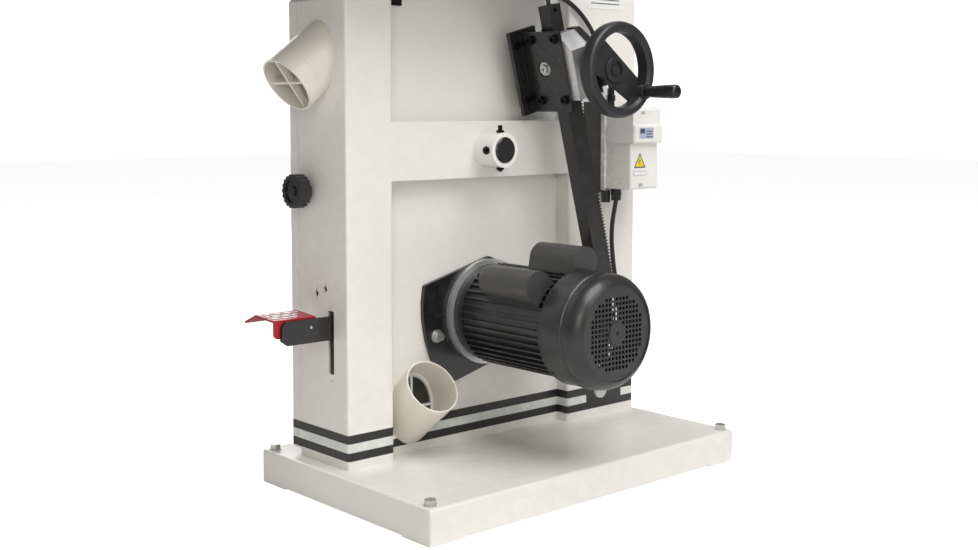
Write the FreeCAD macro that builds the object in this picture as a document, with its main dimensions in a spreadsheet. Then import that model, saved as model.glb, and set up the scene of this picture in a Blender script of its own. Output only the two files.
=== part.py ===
"""A floor-standing vertical band saw with a rack-and-pinion table tilt, as a parametric assembly.

Frame: +Z up, floor at z = 0, origin at the centre of the base tray, the operator's side towards -Y,
the blade side towards +X and the column towards -X.  All lengths are millimetres.
"""

import FreeCAD, Part
import math
import os
import re

import Sketcher

DOC = FreeCAD.newDocument("band_saw")
SHEET = DOC.addObject("Spreadsheet::Sheet", "Dims")
ALIASES = []
NODES = []
FASTENERS = []
ROTOR = []
HEAD_BRACKETS = []
V = FreeCAD.Vector

# ---------------------------------------------------------------- helpers


def rows(**values):
    """Write named driving dimensions into the spreadsheet, one row each."""
    for name, value in values.items():
        ALIASES.append(name)
        row = len(ALIASES)
        SHEET.set(f"A{row}", name)
        SHEET.set(f"B{row}", str(value))
        SHEET.setAlias(f"B{row}", name)
    DOC.recompute()


def dim(name):
    """The value of one spreadsheet cell."""
    return float(getattr(SHEET, name))


def formula(text):
    """Turn alias names in a short formula into references to the spreadsheet."""
    def swap(match):
        word = match.group()
        return f"Dims.{word}" if word in ALIASES else word
    return re.sub(r"[a-z][a-z0-9_]*", swap, str(text))


def put(item, low):
    """Bind an object's position to three formulas."""
    for axis, text in zip("xyz", low):
        item.setExpression(f"Placement.Base.{axis}", formula(text))


TURNS = {
    "X": FreeCAD.Rotation(V(0, 1, 0), 90),
    "Y": FreeCAD.Rotation(V(1, 0, 0), -90),
    "Z": FreeCAD.Rotation(),
}


def span(label, x, y, z):
    """A box between pairs of formulas along X, Y and Z."""
    item = DOC.addObject("Part::Box", label)
    for size, (low, high) in zip(("Length", "Width", "Height"), (x, y, z)):
        item.setExpression(size, formula(f"({high}) - ({low})"))
    put(item, (x[0], y[0], z[0]))
    return item


def rod(label, axis, start, radius, length):
    """A cylinder that starts at a point and runs along +axis."""
    item = DOC.addObject("Part::Cylinder", label)
    item.setExpression("Radius", formula(radius))
    item.setExpression("Height", formula(length))
    item.Placement = FreeCAD.Placement(V(), TURNS[axis])
    put(item, start)
    return item


def hexagon(label, axis, start, corner_radius, length):
    """A hexagonal bar, as a bolt head or nut."""
    item = DOC.addObject("Part::Prism", label)
    item.Polygon = 6
    item.setExpression("Circumradius", formula(corner_radius))
    item.setExpression("Height", formula(length))
    item.Placement = FreeCAD.Placement(V(), TURNS[axis])
    put(item, start)
    return item


def fuse(label, *items):
    item = DOC.addObject("Part::MultiFuse", label)
    item.Shapes = list(items)
    item.Refine = True
    return item


def cut(label, base, *tools):
    """Take one or more tools out of a base."""
    item = DOC.addObject("Part::Cut", label)
    item.Base = base
    item.Tool = tools[0] if len(tools) == 1 else fuse(f"{label}_tools", *tools)
    return item


def group(label, *items):
    """Several separate solids kept together in one node."""
    item = DOC.addObject("Part::Compound", label)
    item.Links = list(items)
    return item


def sketch_on(body, label, plane, points, height):
    """A closed polygon whose every corner is bound to formulas, on one of the body's origin planes."""
    sketch = body.newObject("Sketcher::SketchObject", label)
    features = body.Origin.OriginFeatures
    sketch.AttachmentSupport = [([f for f in features if f.Role == f"{plane}_Plane"][0], "")]
    sketch.MapMode = "FlatFace"
    sketch.setExpression("AttachmentOffset.Base.z", formula(height))
    count = len(points)
    ring = [V(9 * math.cos(math.tau * i / count), 9 * math.sin(math.tau * i / count), 0)
            for i in range(count)]
    for i in range(count):
        sketch.addGeometry(Part.LineSegment(ring[i], ring[(i + 1) % count]))
    for i in range(count):
        sketch.addConstraint(Sketcher.Constraint("Coincident", i, 2, (i + 1) % count, 1))
    for i, corner in enumerate(points):
        for kind, text in zip(("DistanceX", "DistanceY"), corner):
            index = sketch.addConstraint(Sketcher.Constraint(kind, -1, 1, i, 1, 1.0))
            sketch.setExpression(f"Constraints[{index}]", formula(text))
    return sketch


def outline(label, plane, points, low, high):
    """A padded polygon between two heights along the axis that the plane leaves out."""
    body = DOC.addObject("PartDesign::Body", label)
    flipped = plane == "XZ"
    height = f"-({high})" if flipped else low
    sketch = sketch_on(body, f"{label}_sketch", plane, points, height)
    pad = body.newObject("PartDesign::Pad", f"{label}_pad")
    pad.Profile = sketch
    pad.setExpression("Length", formula(f"({high}) - ({low})"))
    return body


def turned(label, axis, centre, profile):
    """A solid of revolution from (radius, height) corners, its axis through a point along +axis."""
    body = DOC.addObject("PartDesign::Body", label)
    sketch = sketch_on(body, f"{label}_sketch", "XZ", profile, 0)
    spin = body.newObject("PartDesign::Revolution", f"{label}_spin")
    spin.Profile = sketch
    spin.ReferenceAxis = (sketch, ["V_Axis"])
    spin.Angle = 360
    body.Placement = FreeCAD.Placement(V(), TURNS[axis])
    put(body, centre)
    return body


def moulded(label, shape):
    """A shape made with Part's own functions from sizes read out of the spreadsheet."""
    item = DOC.addObject("Part::Feature", label)
    item.Shape = shape
    return item


def rounded(label, base, radius, chosen):
    """Fillet the edges of a base that a test picks by their middle point and direction."""
    DOC.recompute()
    picked = []
    for index, edge in enumerate(base.Shape.Edges, 1):
        low, high = edge.ParameterRange
        middle = edge.valueAt((low + high) / 2)
        if chosen(middle, edge.tangentAt((low + high) / 2)):
            picked.append((index, dim(radius), dim(radius)))
    item = DOC.addObject("Part::Fillet", label)
    item.Base = base
    item.Edges = picked
    return item


def upright(tangent):
    return abs(tangent.z) > 0.99


def keep(node, item):
    """Name a finished piece, which makes it a node of the assembly."""
    item.Label = node
    NODES.append((node, item))
    return item


def prism(points, direction):
    """A polygon of vectors, extruded."""
    return Part.Face(Part.makePolygon(points + points[:1])).extrude(direction)


# ---------------------------------------------------------------- base and frame

rows(
    base_long=737, base_wide=472, base_high=58, base_wall=4, base_round=5,
    foot=70, foot_rise=3, flange_in=60, recess_in=18,
    bolt_x=353, bolt_y=217, bolt_shank=5, bolt_corner=9.8, bolt_head=8, washer=10, washer_thick=2,
    wall=4, right_x=338, left_x=-366, seam_y=-157, panel_y=-44, pillar_y=-16,
    pillar_x=242, step_x=-179, beam_low=538.5, beam_high=639.5,
    shell_top=868, top_chamfer=25, throat_x=-178,
    head_low=1372, head_high=1905, head_chamfer=110,
    wheel_x=30, wheel_y=-100, wheel_low=588, wheel_up=1645, blade_x=271,
    motor_x=12, motor_z=292, boss_radius=31, shaft_hole=26,
    corner_round=5, 
)


def make_base():
    """A folded sheet tray on four corner feet, with a return flange round its underside."""
    outer = span("base_outer", ("-base_long/2", "base_long/2"), ("-base_wide/2", "base_wide/2"),
                 (0, "base_high"))
    shell = rounded("base_rounded", outer, "base_round", lambda p, t: p.z > 1)
    hollow = span("base_hollow", ("base_wall - base_long/2", "base_long/2 - base_wall"),
                  ("base_wall - base_wide/2", "base_wide/2 - base_wall"),
                  ("2*foot_rise", "base_high - base_wall"))
    under = span("base_under", ("flange_in - base_long/2", "base_long/2 - flange_in"),
                 ("flange_in - base_wide/2", "base_wide/2 - flange_in"), (-1, "2*foot_rise + 1"))
    tools = [hollow, under]
    for side in (-1, 1):
        edge_y, edge_x = f"{side}*base_wide/2", f"{side}*base_long/2"
        tools.append(span("base_recess_y", ("foot - base_long/2", "base_long/2 - foot"),
                          (f"{edge_y} - recess_in", f"{edge_y} + recess_in"), (-1, "foot_rise")))
        tools.append(span("base_recess_x", (f"{edge_x} - recess_in", f"{edge_x} + recess_in"),
                          ("foot - base_wide/2", "base_wide/2 - foot"), (-1, "foot_rise")))
        for way in (-1, 1):
            tools.append(rod("base_bolt_hole", "Z", (f"{side}*bolt_x", f"{way}*bolt_y", "base_high/2"),
                             "bolt_shank + 0.5", "base_high"))
    keep("base", cut("base_tray", shell, *tools))

    bolts = []
    for side in (-1, 1):
        for way in (-1, 1):
            x, y = f"{side}*bolt_x", f"{way}*bolt_y"
            washer = rod("bolt_washer", "Z", (x, y, "base_high"), "washer", "washer_thick")
            head = hexagon("bolt_head_hex", "Z", (x, y, "base_high + washer_thick"), "bolt_corner",
                           "bolt_head")
            shank = rod("bolt_shank_rod", "Z", (x, y, "base_high - 20"), "bolt_shank", "24")
            bolts.append(fuse("base_bolt", washer, head, shank))
    FASTENERS.extend(bolts)


rows(
    port_radius=50.2, port_wall=2.5, port_rib=4.5, port_rib_deep=12, port_lip=4, spigot_radius=50.8,
    spigot_long=30, guard_half=2.2,
    side_port_y=-97, side_port_z=746, side_port_long=77, side_port_tilt=37.2,
    rear_port_x=181, rear_port_z=137, rear_port_long=74, rear_port_tilt=39.2,
    slot_low=214.6, slot_high=322, slot_front=-72, slot_back=-55.5,
    latch_y=-128, latch_z=522, upper_latch_z=1560, stud_radius=6, stud_gap=0.08,
    key_hole=5.4, key_slot=2.1, key_long=11,
)


def port_frame(side):
    """The placement of a dust port: local +Z runs out of the cabinet along the duct."""
    if side:
        origin = V(dim("right_x"), dim("side_port_y"), dim("side_port_z"))
        return FreeCAD.Placement(origin, FreeCAD.Rotation(V(0, 1, 0), 90 + dim("side_port_tilt")))
    origin = V(dim("rear_port_x"), dim("panel_y"), dim("rear_port_z"))
    return FreeCAD.Placement(origin, FreeCAD.Rotation(V(1, 0, 0), dim("rear_port_tilt") - 90))


def port_bore(label, side):
    """The hole that a dust port needs through the sheet it is welded to."""
    bore = DOC.addObject("Part::Cylinder", label)
    bore.setExpression("Radius", formula("port_radius - port_wall" if side else
                                         "port_radius - port_wall - port_lip"))
    bore.Height = 160
    place = port_frame(side)
    bore.Placement = place.multiply(FreeCAD.Placement(V(0, 0, -80), FreeCAD.Rotation()))
    return bore


def guard_bars():
    """The crossed bars that keep fingers out of the hole behind the rear dust port."""
    sheet = ("panel_y - wall + 0.5", "panel_y - 0.5")
    flat = span("guard_flat_bar", ("rear_port_x - port_radius", "rear_port_x + port_radius"), sheet,
                ("rear_port_z - guard_half", "rear_port_z + guard_half"))
    tall = span("guard_tall_bar", ("rear_port_x - guard_half", "rear_port_x + guard_half"), sheet,
                ("rear_port_z - 1.35*port_radius", "rear_port_z + 1.35*port_radius"))
    return flat, tall


def make_port(node, side):
    """A slanted dust spigot cut flush with the sheet; the side one has a guard of crossed ribs."""
    long = dim("side_port_long" if side else "rear_port_long")
    radius, inner = dim("port_radius"), dim("port_radius") - dim("port_wall")
    reach = 120
    shell = Part.makeCylinder(radius, long + reach, V(0, 0, -reach))
    spigot = dim("spigot_radius")
    shell = shell.fuse(Part.makeCylinder(spigot, dim("spigot_long"), V(0, 0, long - dim("spigot_long"))))
    shell = shell.cut(Part.makeCylinder(inner, long + reach + 2, V(0, 0, -reach - 1)))
    rib, deep = dim("port_rib"), dim("port_rib_deep")
    start = long - 6 - deep
    ribs = ((2 * inner + 1, rib), (rib, 2 * inner + 1)) if side else ()
    for size in ribs:
        shell = shell.fuse(Part.makeBox(size[0], size[1], deep, V(-size[0] / 2, -size[1] / 2, start)))
    shell = shell.common(Part.makeCylinder(spigot, long + reach, V(0, 0, -reach)))
    shell = shell.removeSplitter()
    shell.Placement = port_frame(side)
    if side:
        behind = Part.makeBox(400, 400, 500, V(dim("right_x") - 400, -300, 500))
    else:
        behind = Part.makeBox(400, 300, 400, V(0, dim("panel_y") - 300, 0))
    shell = shell.cut(behind)
    if not side:
        shell = shell.cut(Part.makeBox(400, 400, dim("base_high"), V(0, -200, 0)))
    keep(node, moulded(f"{node}_shape", max(shell.Solids, key=lambda s: s.Volume)))


def make_lower_housing():
    """The welded cabinet: wheel chamber, two rear pillars, a cross beam and the foot of the column."""
    def pieces(grow, front):
        low, high = f"base_high + {grow}", f"shell_top - {grow}"
        rear = f"panel_y - {grow}"
        return [
            span("chamber", (f"left_x + {grow}", f"right_x - {grow}"), (front, rear), (low, high)),
            span("column_foot", (f"left_x + {grow}", f"step_x - {grow}"),
                 (f"{rear} - 1", f"pillar_y - {grow}"), (low, high)),
            span("pillar", (f"pillar_x + {grow}", f"right_x - {grow}"),
                 (f"{rear} - 1", f"pillar_y - {grow}"), (low, high)),
            span("beam", (f"step_x - {grow} - 1", f"pillar_x + {grow} + 1"),
                 (f"{rear} - 1", f"pillar_y - {grow}"), (f"beam_low + {grow}", f"beam_high - {grow}")),
        ]
    solid = fuse("cabinet_solid", *pieces("0", "seam_y"))
    back = dim("pillar_y")
    solid = rounded("cabinet_rounded", solid, "corner_round",
                    lambda p, t: upright(t) and abs(p.y - back) < 0.01)
    corner = outline("cabinet_corner", "XZ", [("right_x - top_chamfer", "shell_top"),
                                              ("right_x", "shell_top - top_chamfer"),
                                              ("right_x + 5", "shell_top + 5")], "seam_y - 5", "0")
    hollow = fuse("cabinet_hollow", *pieces("wall", "seam_y - 1"))
    inner_corner = outline("cabinet_inner_corner", "XZ",
                           [("right_x - top_chamfer - wall", "shell_top"),
                            ("right_x + 5", "shell_top"),
                            ("right_x + 5", "shell_top - top_chamfer - wall - 5")],
                           "seam_y - 5", "0")
    hollow = cut("cabinet_hollow_trimmed", hollow, inner_corner)
    tools = [
        corner, hollow,
        span("blade_slot", ("blade_x - 12", "blade_x + 14"), (-135, -80),
             ("shell_top - wall - 1", "shell_top + 1")),
        span("column_way", ("left_x + wall", "throat_x - wall"), ("seam_y + wall", "pillar_y - wall"),
             ("shell_top - wall - 1", "shell_top + 1")),
        rod("boss_hole", "Y", ("wheel_x", "panel_y - wall - 1", "wheel_low"), "boss_radius", 40),
        rod("shaft_way", "Y", ("motor_x", "panel_y - wall - 1", "motor_z"), "shaft_hole", 10),
        port_bore("side_port_bore", True), port_bore("rear_port_bore", False),
        span("pedal_slot", ("right_x - wall - 1", "right_x + 1"), ("slot_front", "slot_back"),
             ("slot_low", "slot_high")),
        rod("latch_hole", "X", ("right_x - wall - 1", "latch_y", "latch_z"), "stud_radius + stud_gap", 8),
    ]
    for y, z, down, up in ((-105.5, 348, 1, 1), (-80, 357.5, 0, 1)):
        ends = (f"{z} - {down}*key_long", f"{z} + {up}*key_long")
        tools.append(rod("key_round", "X", ("right_x - wall - 1", y, z), "key_hole", 8))
        tools.append(span("key_notch", ("right_x - wall - 1", "right_x + 1"),
                          (f"{y} - key_slot", f"{y} + key_slot"), (ends[0], ends[1])))
    keep("lower_housing", fuse("cabinet_guarded", cut("cabinet_shell", solid, *tools), *guard_bars()))


def make_column():
    """The box-section column that joins the lower cabinet to the upper head."""
    outer = span("column_outer", ("left_x", "throat_x"), ("seam_y", "pillar_y"),
                 ("shell_top", "head_low"))
    back = dim("pillar_y")
    outer = rounded("column_rounded", outer, "corner_round",
                    lambda p, t: upright(t) and p.y > back - 0.01)
    inner = span("column_inner", ("left_x + wall", "throat_x - wall"),
                 ("seam_y + wall", "pillar_y - wall"), ("shell_top - 1", "head_low + 1"))
    keep("column", cut("column_tube", outer, inner))


def head_points(grow):
    """The outline of the upper head, shrunk by a wall thickness."""
    cham = f"(head_chamfer - 0.586*({grow}))"
    left, right = f"(left_x + {grow})", f"(right_x - {grow})"
    low, high = f"(head_low + {grow})", f"(head_high - {grow})"
    return [(left, low), (right, low), (right, f"{high} - {cham}"), (f"{right} - {cham}", high),
            (f"{left} + {cham}", high), (left, f"{high} - {cham}")]


rows(post_x=306, post_y=-79, post_half=15, guard_front=-130, tension_y=-59.5, screw_radius=8)


def make_upper_housing():
    """The upper wheel head, open to the front behind its door."""
    solid = outline("head_solid", "XZ", head_points("0"), "seam_y", "panel_y")
    foot = span("head_column", ("left_x", "step_x"), ("panel_y - 1", "pillar_y"),
                ("head_low", "head_high - head_chamfer"))
    inner = outline("head_inner", "XZ", head_points("wall"), "seam_y - 1", "panel_y - wall")
    foot_inner = span("head_column_inner", ("left_x + wall", "step_x - wall"),
                      ("panel_y - wall - 1", "pillar_y - wall"),
                      ("head_low + wall", "head_high - head_chamfer - wall"))
    tools = [
        inner, foot_inner,
        span("head_column_way", ("left_x + wall", "throat_x - wall"),
             ("seam_y + wall", "pillar_y - wall"), ("head_low - 1", "head_low + wall + 1")),
        span("head_blade_way", ("blade_x - 14", "right_x - wall - 6"), ("guard_front - 6", -56),
             ("head_low - 1", "head_low + wall + 1")),
        rod("head_screw_way", "Z", ("wheel_x", "tension_y", "head_high - wall - 1"),
            "screw_radius + 1.5", 10),
        rod("head_latch_hole", "X", ("right_x - wall - 1", "latch_y", "upper_latch_z"),
            "stud_radius + stud_gap", 8),
    ]
    keep("upper_housing", cut("head_shell", fuse("head_outer", solid, foot), *tools))


# ---------------------------------------------------------------- doors, hinges and latches

rows(
    door_front=-181, door_gap=0.5, door_sheet=3, door_rise=12, door_drop=6,
    hinge_x=-374, hinge_barrel=6, hinge_pin=3, hinge_half=28,
    knob_radius=29, knob_start=350, knob_end=372, knob_hub=13, knob_dish=20, knob_button=9,
)


def make_doors():
    """Two folded pan doors on the operator's side, each with its halves of the hinges."""
    rear = "seam_y - door_gap"
    for side in ("lower", "upper"):
        shapes = []
        for grow, low, high in (("0", "door_front", rear),
                                ("door_sheet", "door_front + door_sheet", f"{rear} + 1")):
            points = door_points(grow) if side == "lower" else head_points(grow)
            shapes.append(outline(f"{side}_door_outline", "XZ", points, low, high))
        pan = cut(f"{side}_door_pan", *shapes)
        leaves = [hinge_leaf(z, False) for z in HINGE_HEIGHTS[side]]
        keep(f"{side}_door", fuse(f"{side}_door_solid", pan, *leaves))
    heights = HINGE_HEIGHTS["lower"] + HINGE_HEIGHTS["upper"]
    keep("hinge_barrels", group("hinge_barrel_group", *[hinge_leaf(z, True) for z in heights]))


def door_points(grow):
    """The outline of the lower door, with the corner that clears the tilted table."""
    left, right = f"left_x + {grow}", f"right_x - {grow}"
    low, high = f"base_high + door_rise + {grow}", f"shell_top - door_drop - {grow}"
    cham = "(top_chamfer - door_drop)"
    return [(left, low), (right, low), (right, f"{high} - {cham}"), (f"{right} - {cham}", high),
            (left, high)]


HINGE_HEIGHTS = {"lower": (180, 740), "upper": (1450, 1740)}


def hinge_leaf(height, fixed):
    """One half of a butt hinge: a leaf, a barrel and, on the door's half, the pin."""
    x, seam = "hinge_x", "seam_y"
    if fixed:
        y, low, high = (f"{seam}", f"{seam} + 34"), f"{height} + 0.4", f"{height} + hinge_half"
        leaf = span("fixed_leaf", (x, "left_x"), y, (low, high))
    else:
        y, low, high = ("door_front + 4", f"{seam} - 2"), f"{height} - hinge_half", f"{height} - 0.4"
        leaf = span("door_leaf", (x, "left_x"), y, (low, high))
    barrel = rod("hinge_barrel_rod", "Z", (x, seam, low), "hinge_barrel", f"({high}) - ({low})")
    hole = rod("hinge_hole", "Z", (x, seam, f"{low} - 1"), "hinge_pin + 0.06", "hinge_half + 4")
    trim = span("leaf_trim", (f"{x} - 10", "left_x - 4"), ("door_front - 5", "seam_y + 40"),
                (f"{low} - 1", f"{high} + 1"))
    plate = cut("leaf_plate", leaf, trim)
    bridge = span("leaf_bridge", (x, "left_x - 3"), (y[0], f"{y[0]} + 12") if fixed
                  else (f"{seam} - 9", f"{seam} - 2"), (low, high))
    body = fuse("hinge_solid", plate, bridge, barrel)
    if fixed:
        return cut("hinge_fixed", body, hole)
    pin = rod("hinge_pin_rod", "Z", (x, seam, low), "hinge_pin", "2*hinge_half")
    return fuse("hinge_moving", body, pin)


def star(radius, dip, lobes, count):
    """Points of a smooth lobed outline in the YZ plane."""
    points = []
    for i in range(count):
        angle = math.tau * i / count
        reach = radius - dip * 0.5 * (1 - math.cos(lobes * angle))
        points.append(V(0, reach * math.cos(angle), reach * math.sin(angle)))
    return points


def make_latch(node, height):
    """A lobed knob on a stud through the side wall, with the cam that pulls the door shut."""
    start, end = dim("knob_start"), dim("knob_end")
    centre = V(0, dim("latch_y"), dim(height))
    lobes = Part.BSplineCurve()
    lobes.interpolate(star(dim("knob_radius"), 2.4, 18, 144), PeriodicFlag=True)
    head = Part.Face(Part.Wire(lobes.toShape())).extrude(V(end - start, 0, 0))
    head.translate(centre + V(start, 0, 0))
    hub = Part.makeCylinder(dim("knob_hub"), start - dim("right_x") - 0.5,
                            centre + V(dim("right_x") + 0.5, 0, 0), V(1, 0, 0))
    dish = Part.makeCylinder(dim("knob_dish"), 3, centre + V(end - 3, 0, 0), V(1, 0, 0))
    dish = dish.cut(Part.makeCylinder(dim("knob_button"), 3, centre + V(end - 3, 0, 0), V(1, 0, 0)))
    knob = head.cut(dish).fuse(hub)
    stud_start = dim("right_x") - 22
    bore = Part.makeCylinder(dim("stud_radius"), 60, centre + V(stud_start, 0, 0), V(1, 0, 0))
    stop = Part.makeCylinder(dim("stud_radius") + 4, 60, centre + V(end - 8, 0, 0), V(1, 0, 0))
    knob = knob.cut(bore.cut(stop)).removeSplitter()
    stud = Part.makeCylinder(dim("stud_radius"), end - 8 - stud_start,
                             centre + V(stud_start, 0, 0), V(1, 0, 0))
    cam = Part.makeBox(6, 12, 40, centre + V(stud_start, -6, -10))
    stud = stud.fuse(cam).removeSplitter()
    keep(node, moulded(f"{node}_shape", Part.makeCompound([knob, stud])))


# ---------------------------------------------------------------- band wheels, axles and blade

rows(
    rim_outer=235.2, rim_inner=222, rim_half=18, tyre_outer=240.2, hub_outer=45, hub_front=26, hub_back=22,
    web_front=5, web_back=4, bearing_outer=21, axle_radius=15, axle_gap=0.06, window=48, window_ring=134,
    blade_gap=0.4, blade_thick=0.8, blade_front=-117, blade_back=-92,
    pulley_front=-77, pulley_back=-58, wheel_pulley_radius=118, motor_pulley_radius=44,
    belt_thick=5, belt_gap=0.3, boss_front=-52, boss_back=33, cap_radius=23, cap_end=36,
    screw_y=20, screw_reach=38,
)


def make_wheel(name, height):
    """A cast band wheel with five lightening windows, its tyre and its pair of bearings."""
    centre = ("wheel_x", "wheel_y", height)
    wheel = turned(f"{name}_turned", "Y", centre, [
        ("bearing_outer", "-hub_front"), ("hub_outer", "-hub_front"), ("hub_outer", "-web_front"),
        ("rim_inner", "-web_front"), ("rim_inner", "-rim_half"), ("rim_outer", "-rim_half"),
        ("rim_outer", "rim_half"), ("rim_inner", "rim_half"), ("rim_inner", "web_back"),
        ("hub_outer", "web_back"), ("hub_outer", "hub_back"), ("bearing_outer", "hub_back")])
    windows = []
    for i in range(5):
        turn = 72 * i + 90
        start = (f"wheel_x + window_ring*cos({turn})", "wheel_y - 10",
                 f"{height} + window_ring*sin({turn})")
        windows.append(rod(f"{name}_window", "Y", start, "window", 20))
    casting = cut(f"{name}_wheel_cut", wheel, *windows)
    keep(f"{name}_tyre", turned(f"{name}_tyre_turned", "Y", centre, [
        ("rim_outer", "-rim_half"), ("tyre_outer - 1", "-rim_half"), ("tyre_outer", "3 - rim_half"),
        ("tyre_outer", "rim_half - 3"), ("tyre_outer - 1", "rim_half"), ("rim_outer", "rim_half")]))
    races = []
    for low, high in (("-hub_front", "12 - hub_front"), ("hub_back - 12", "hub_back")):
        races.append(turned(f"{name}_race", "Y", centre, [
            ("axle_radius + axle_gap", low), ("bearing_outer", low), ("bearing_outer", high),
            ("axle_radius + axle_gap", high)]))
    keep(f"{name}_wheel", group(f"{name}_wheel_group", casting, *races))


def make_lower_drive():
    """The lower axle in its adjustable boss, the wheel pulley, the motor pulley and the belt."""
    keep("lower_axle", turned("lower_axle_turned", "Y", ("wheel_x", 0, "wheel_low"), [
        (0, -135), (22, -135), (22, -129), ("axle_radius", -129), ("axle_radius", "boss_back - 6"),
        (0, "boss_back - 6")]))
    screws, holes = [], []
    for i, reach in enumerate(("screw_reach + 6", "screw_reach", "screw_reach", "screw_reach")):
        axis, way = (("Z", 1), ("X", 1), ("Z", -1), ("X", -1))[i]
        low = "axle_radius" if way > 0 else f"-({reach})"
        x = "wheel_x" if axis == "Z" else f"wheel_x + {low}"
        z = "wheel_low" if axis == "X" else f"wheel_low + {low}"
        long = f"({reach}) - axle_radius"
        hole_low = "axle_radius - 1" if way > 0 else "-boss_radius - 1"
        hole_x = "wheel_x" if axis == "Z" else f"wheel_x + {hole_low}"
        hole_z = "wheel_low" if axis == "X" else f"wheel_low + {hole_low}"
        screw = rod("boss_screw", axis, (x, "screw_y", z), 4, long)
        holes.append(rod("boss_screw_hole", axis, (hole_x, "screw_y", hole_z), 4,
                         "boss_radius - axle_radius + 2"))
        nut_at = "boss_radius" if way > 0 else "-boss_radius - 4"
        nut_x = "wheel_x" if axis == "Z" else f"wheel_x + {nut_at}"
        nut_z = "wheel_low" if axis == "X" else f"wheel_low + {nut_at}"
        nut = hexagon("boss_nut", axis, (nut_x, "screw_y", nut_z), 7.5, 4)
        screws.append(fuse("boss_screw_set", screw, nut))
    FASTENERS.extend(screws)
    boss = turned("boss_turned", "Y", ("wheel_x", 0, "wheel_low"), [
        ("axle_radius", "boss_front"), ("boss_radius", "boss_front"), ("boss_radius", "boss_back"),
        ("cap_radius", "boss_back"), ("cap_radius", "boss_back - 6"),
        ("axle_radius", "boss_back - 6")])
    keep("axle_boss", cut("boss_drilled", boss, *holes))
    keep("axle_cap", turned("cap_turned", "Y", ("wheel_x", 0, "wheel_low"), [
        (0, "boss_back - 6"), ("cap_radius", "boss_back - 6"), ("cap_radius", "cap_end - 2"),
        ("cap_radius - 2", "cap_end"), (0, "cap_end")]))
    keep("wheel_pulley", turned("wheel_pulley_turned", "Y", ("wheel_x", 0, "wheel_low"), [
        ("axle_radius + 3", "wheel_y + hub_back"), ("hub_outer - 5", "wheel_y + hub_back"),
        ("hub_outer - 5", "pulley_front"), ("wheel_pulley_radius", "pulley_front"),
        ("wheel_pulley_radius", "pulley_back"), ("wheel_pulley_radius - 14", "pulley_back"),
        ("wheel_pulley_radius - 14", "pulley_front + 7"), ("hub_outer - 5", "pulley_front + 7"),
        ("hub_outer - 5", "pulley_back + 2"), ("axle_radius + 3", "pulley_back + 2")]))
    ROTOR.append(turned("motor_pulley_turned", "Y", ("motor_x", 0, "motor_z"), [
        (12, "pulley_front"), ("motor_pulley_radius", "pulley_front"),
        ("motor_pulley_radius", "pulley_back"), (12, "pulley_back")]))
    low = V(dim("motor_x"), 0, dim("motor_z"))
    high = V(dim("wheel_x"), 0, dim("wheel_low"))
    gap, thick = dim("belt_gap"), dim("belt_thick")
    small, big = dim("motor_pulley_radius"), dim("wheel_pulley_radius")
    keep("drive_belt", moulded("belt_shape", loop_band(
        low, small + gap, high, big + gap, thick, dim("pulley_front") + 1, dim("pulley_back") - 1)))


def loop_band(low, low_radius, high, high_radius, thick, front, back):
    """An endless band round two wheels whose axes run along Y."""
    def face(extra):
        r1, r2 = low_radius + extra, high_radius + extra
        span_vector = high - low
        reach = span_vector.Length
        along = span_vector.normalize()
        across = V(along.z, 0, -along.x)
        lean = (r1 - r2) / reach
        rise = math.sqrt(1 - lean * lean)
        right = along * lean + across * rise
        left = along * lean - across * rise
        corners = [low + right * r1, high + right * r2, high + left * r2, low + left * r1]
        edges = [
            Part.LineSegment(corners[0], corners[1]),
            Part.Arc(corners[1], high + along * r2, corners[2]),
            Part.LineSegment(corners[2], corners[3]),
            Part.Arc(corners[3], low - along * r1, corners[0]),
        ]
        return Part.Face(Part.Wire([edge.toShape() for edge in edges]))
    band = face(thick).cut(face(0))
    band.translate(V(0, front, 0))
    return band.extrude(V(0, back - front, 0))


def make_blade():
    """The toothless outline of the endless blade, a hair clear of both tyres."""
    low = V(dim("wheel_x"), 0, dim("wheel_low"))
    high = V(dim("wheel_x"), 0, dim("wheel_up"))
    radius = dim("tyre_outer") + dim("blade_gap")
    keep("saw_blade", moulded("blade_shape", loop_band(
        low, radius, high, radius, dim("blade_thick"), dim("blade_front"), dim("blade_back"))))


rows(
    carriage_half=25, carriage_front=-70, carriage_back=-49, carriage_low=1560, carriage_high=1730,
    rail_gap=0.4, rail_thick=10, rail_low=1530, rail_high=1765, screw_gap=0.08, screw_end=1680,
    crank_low=1914, crank_radius=70,
)


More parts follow.
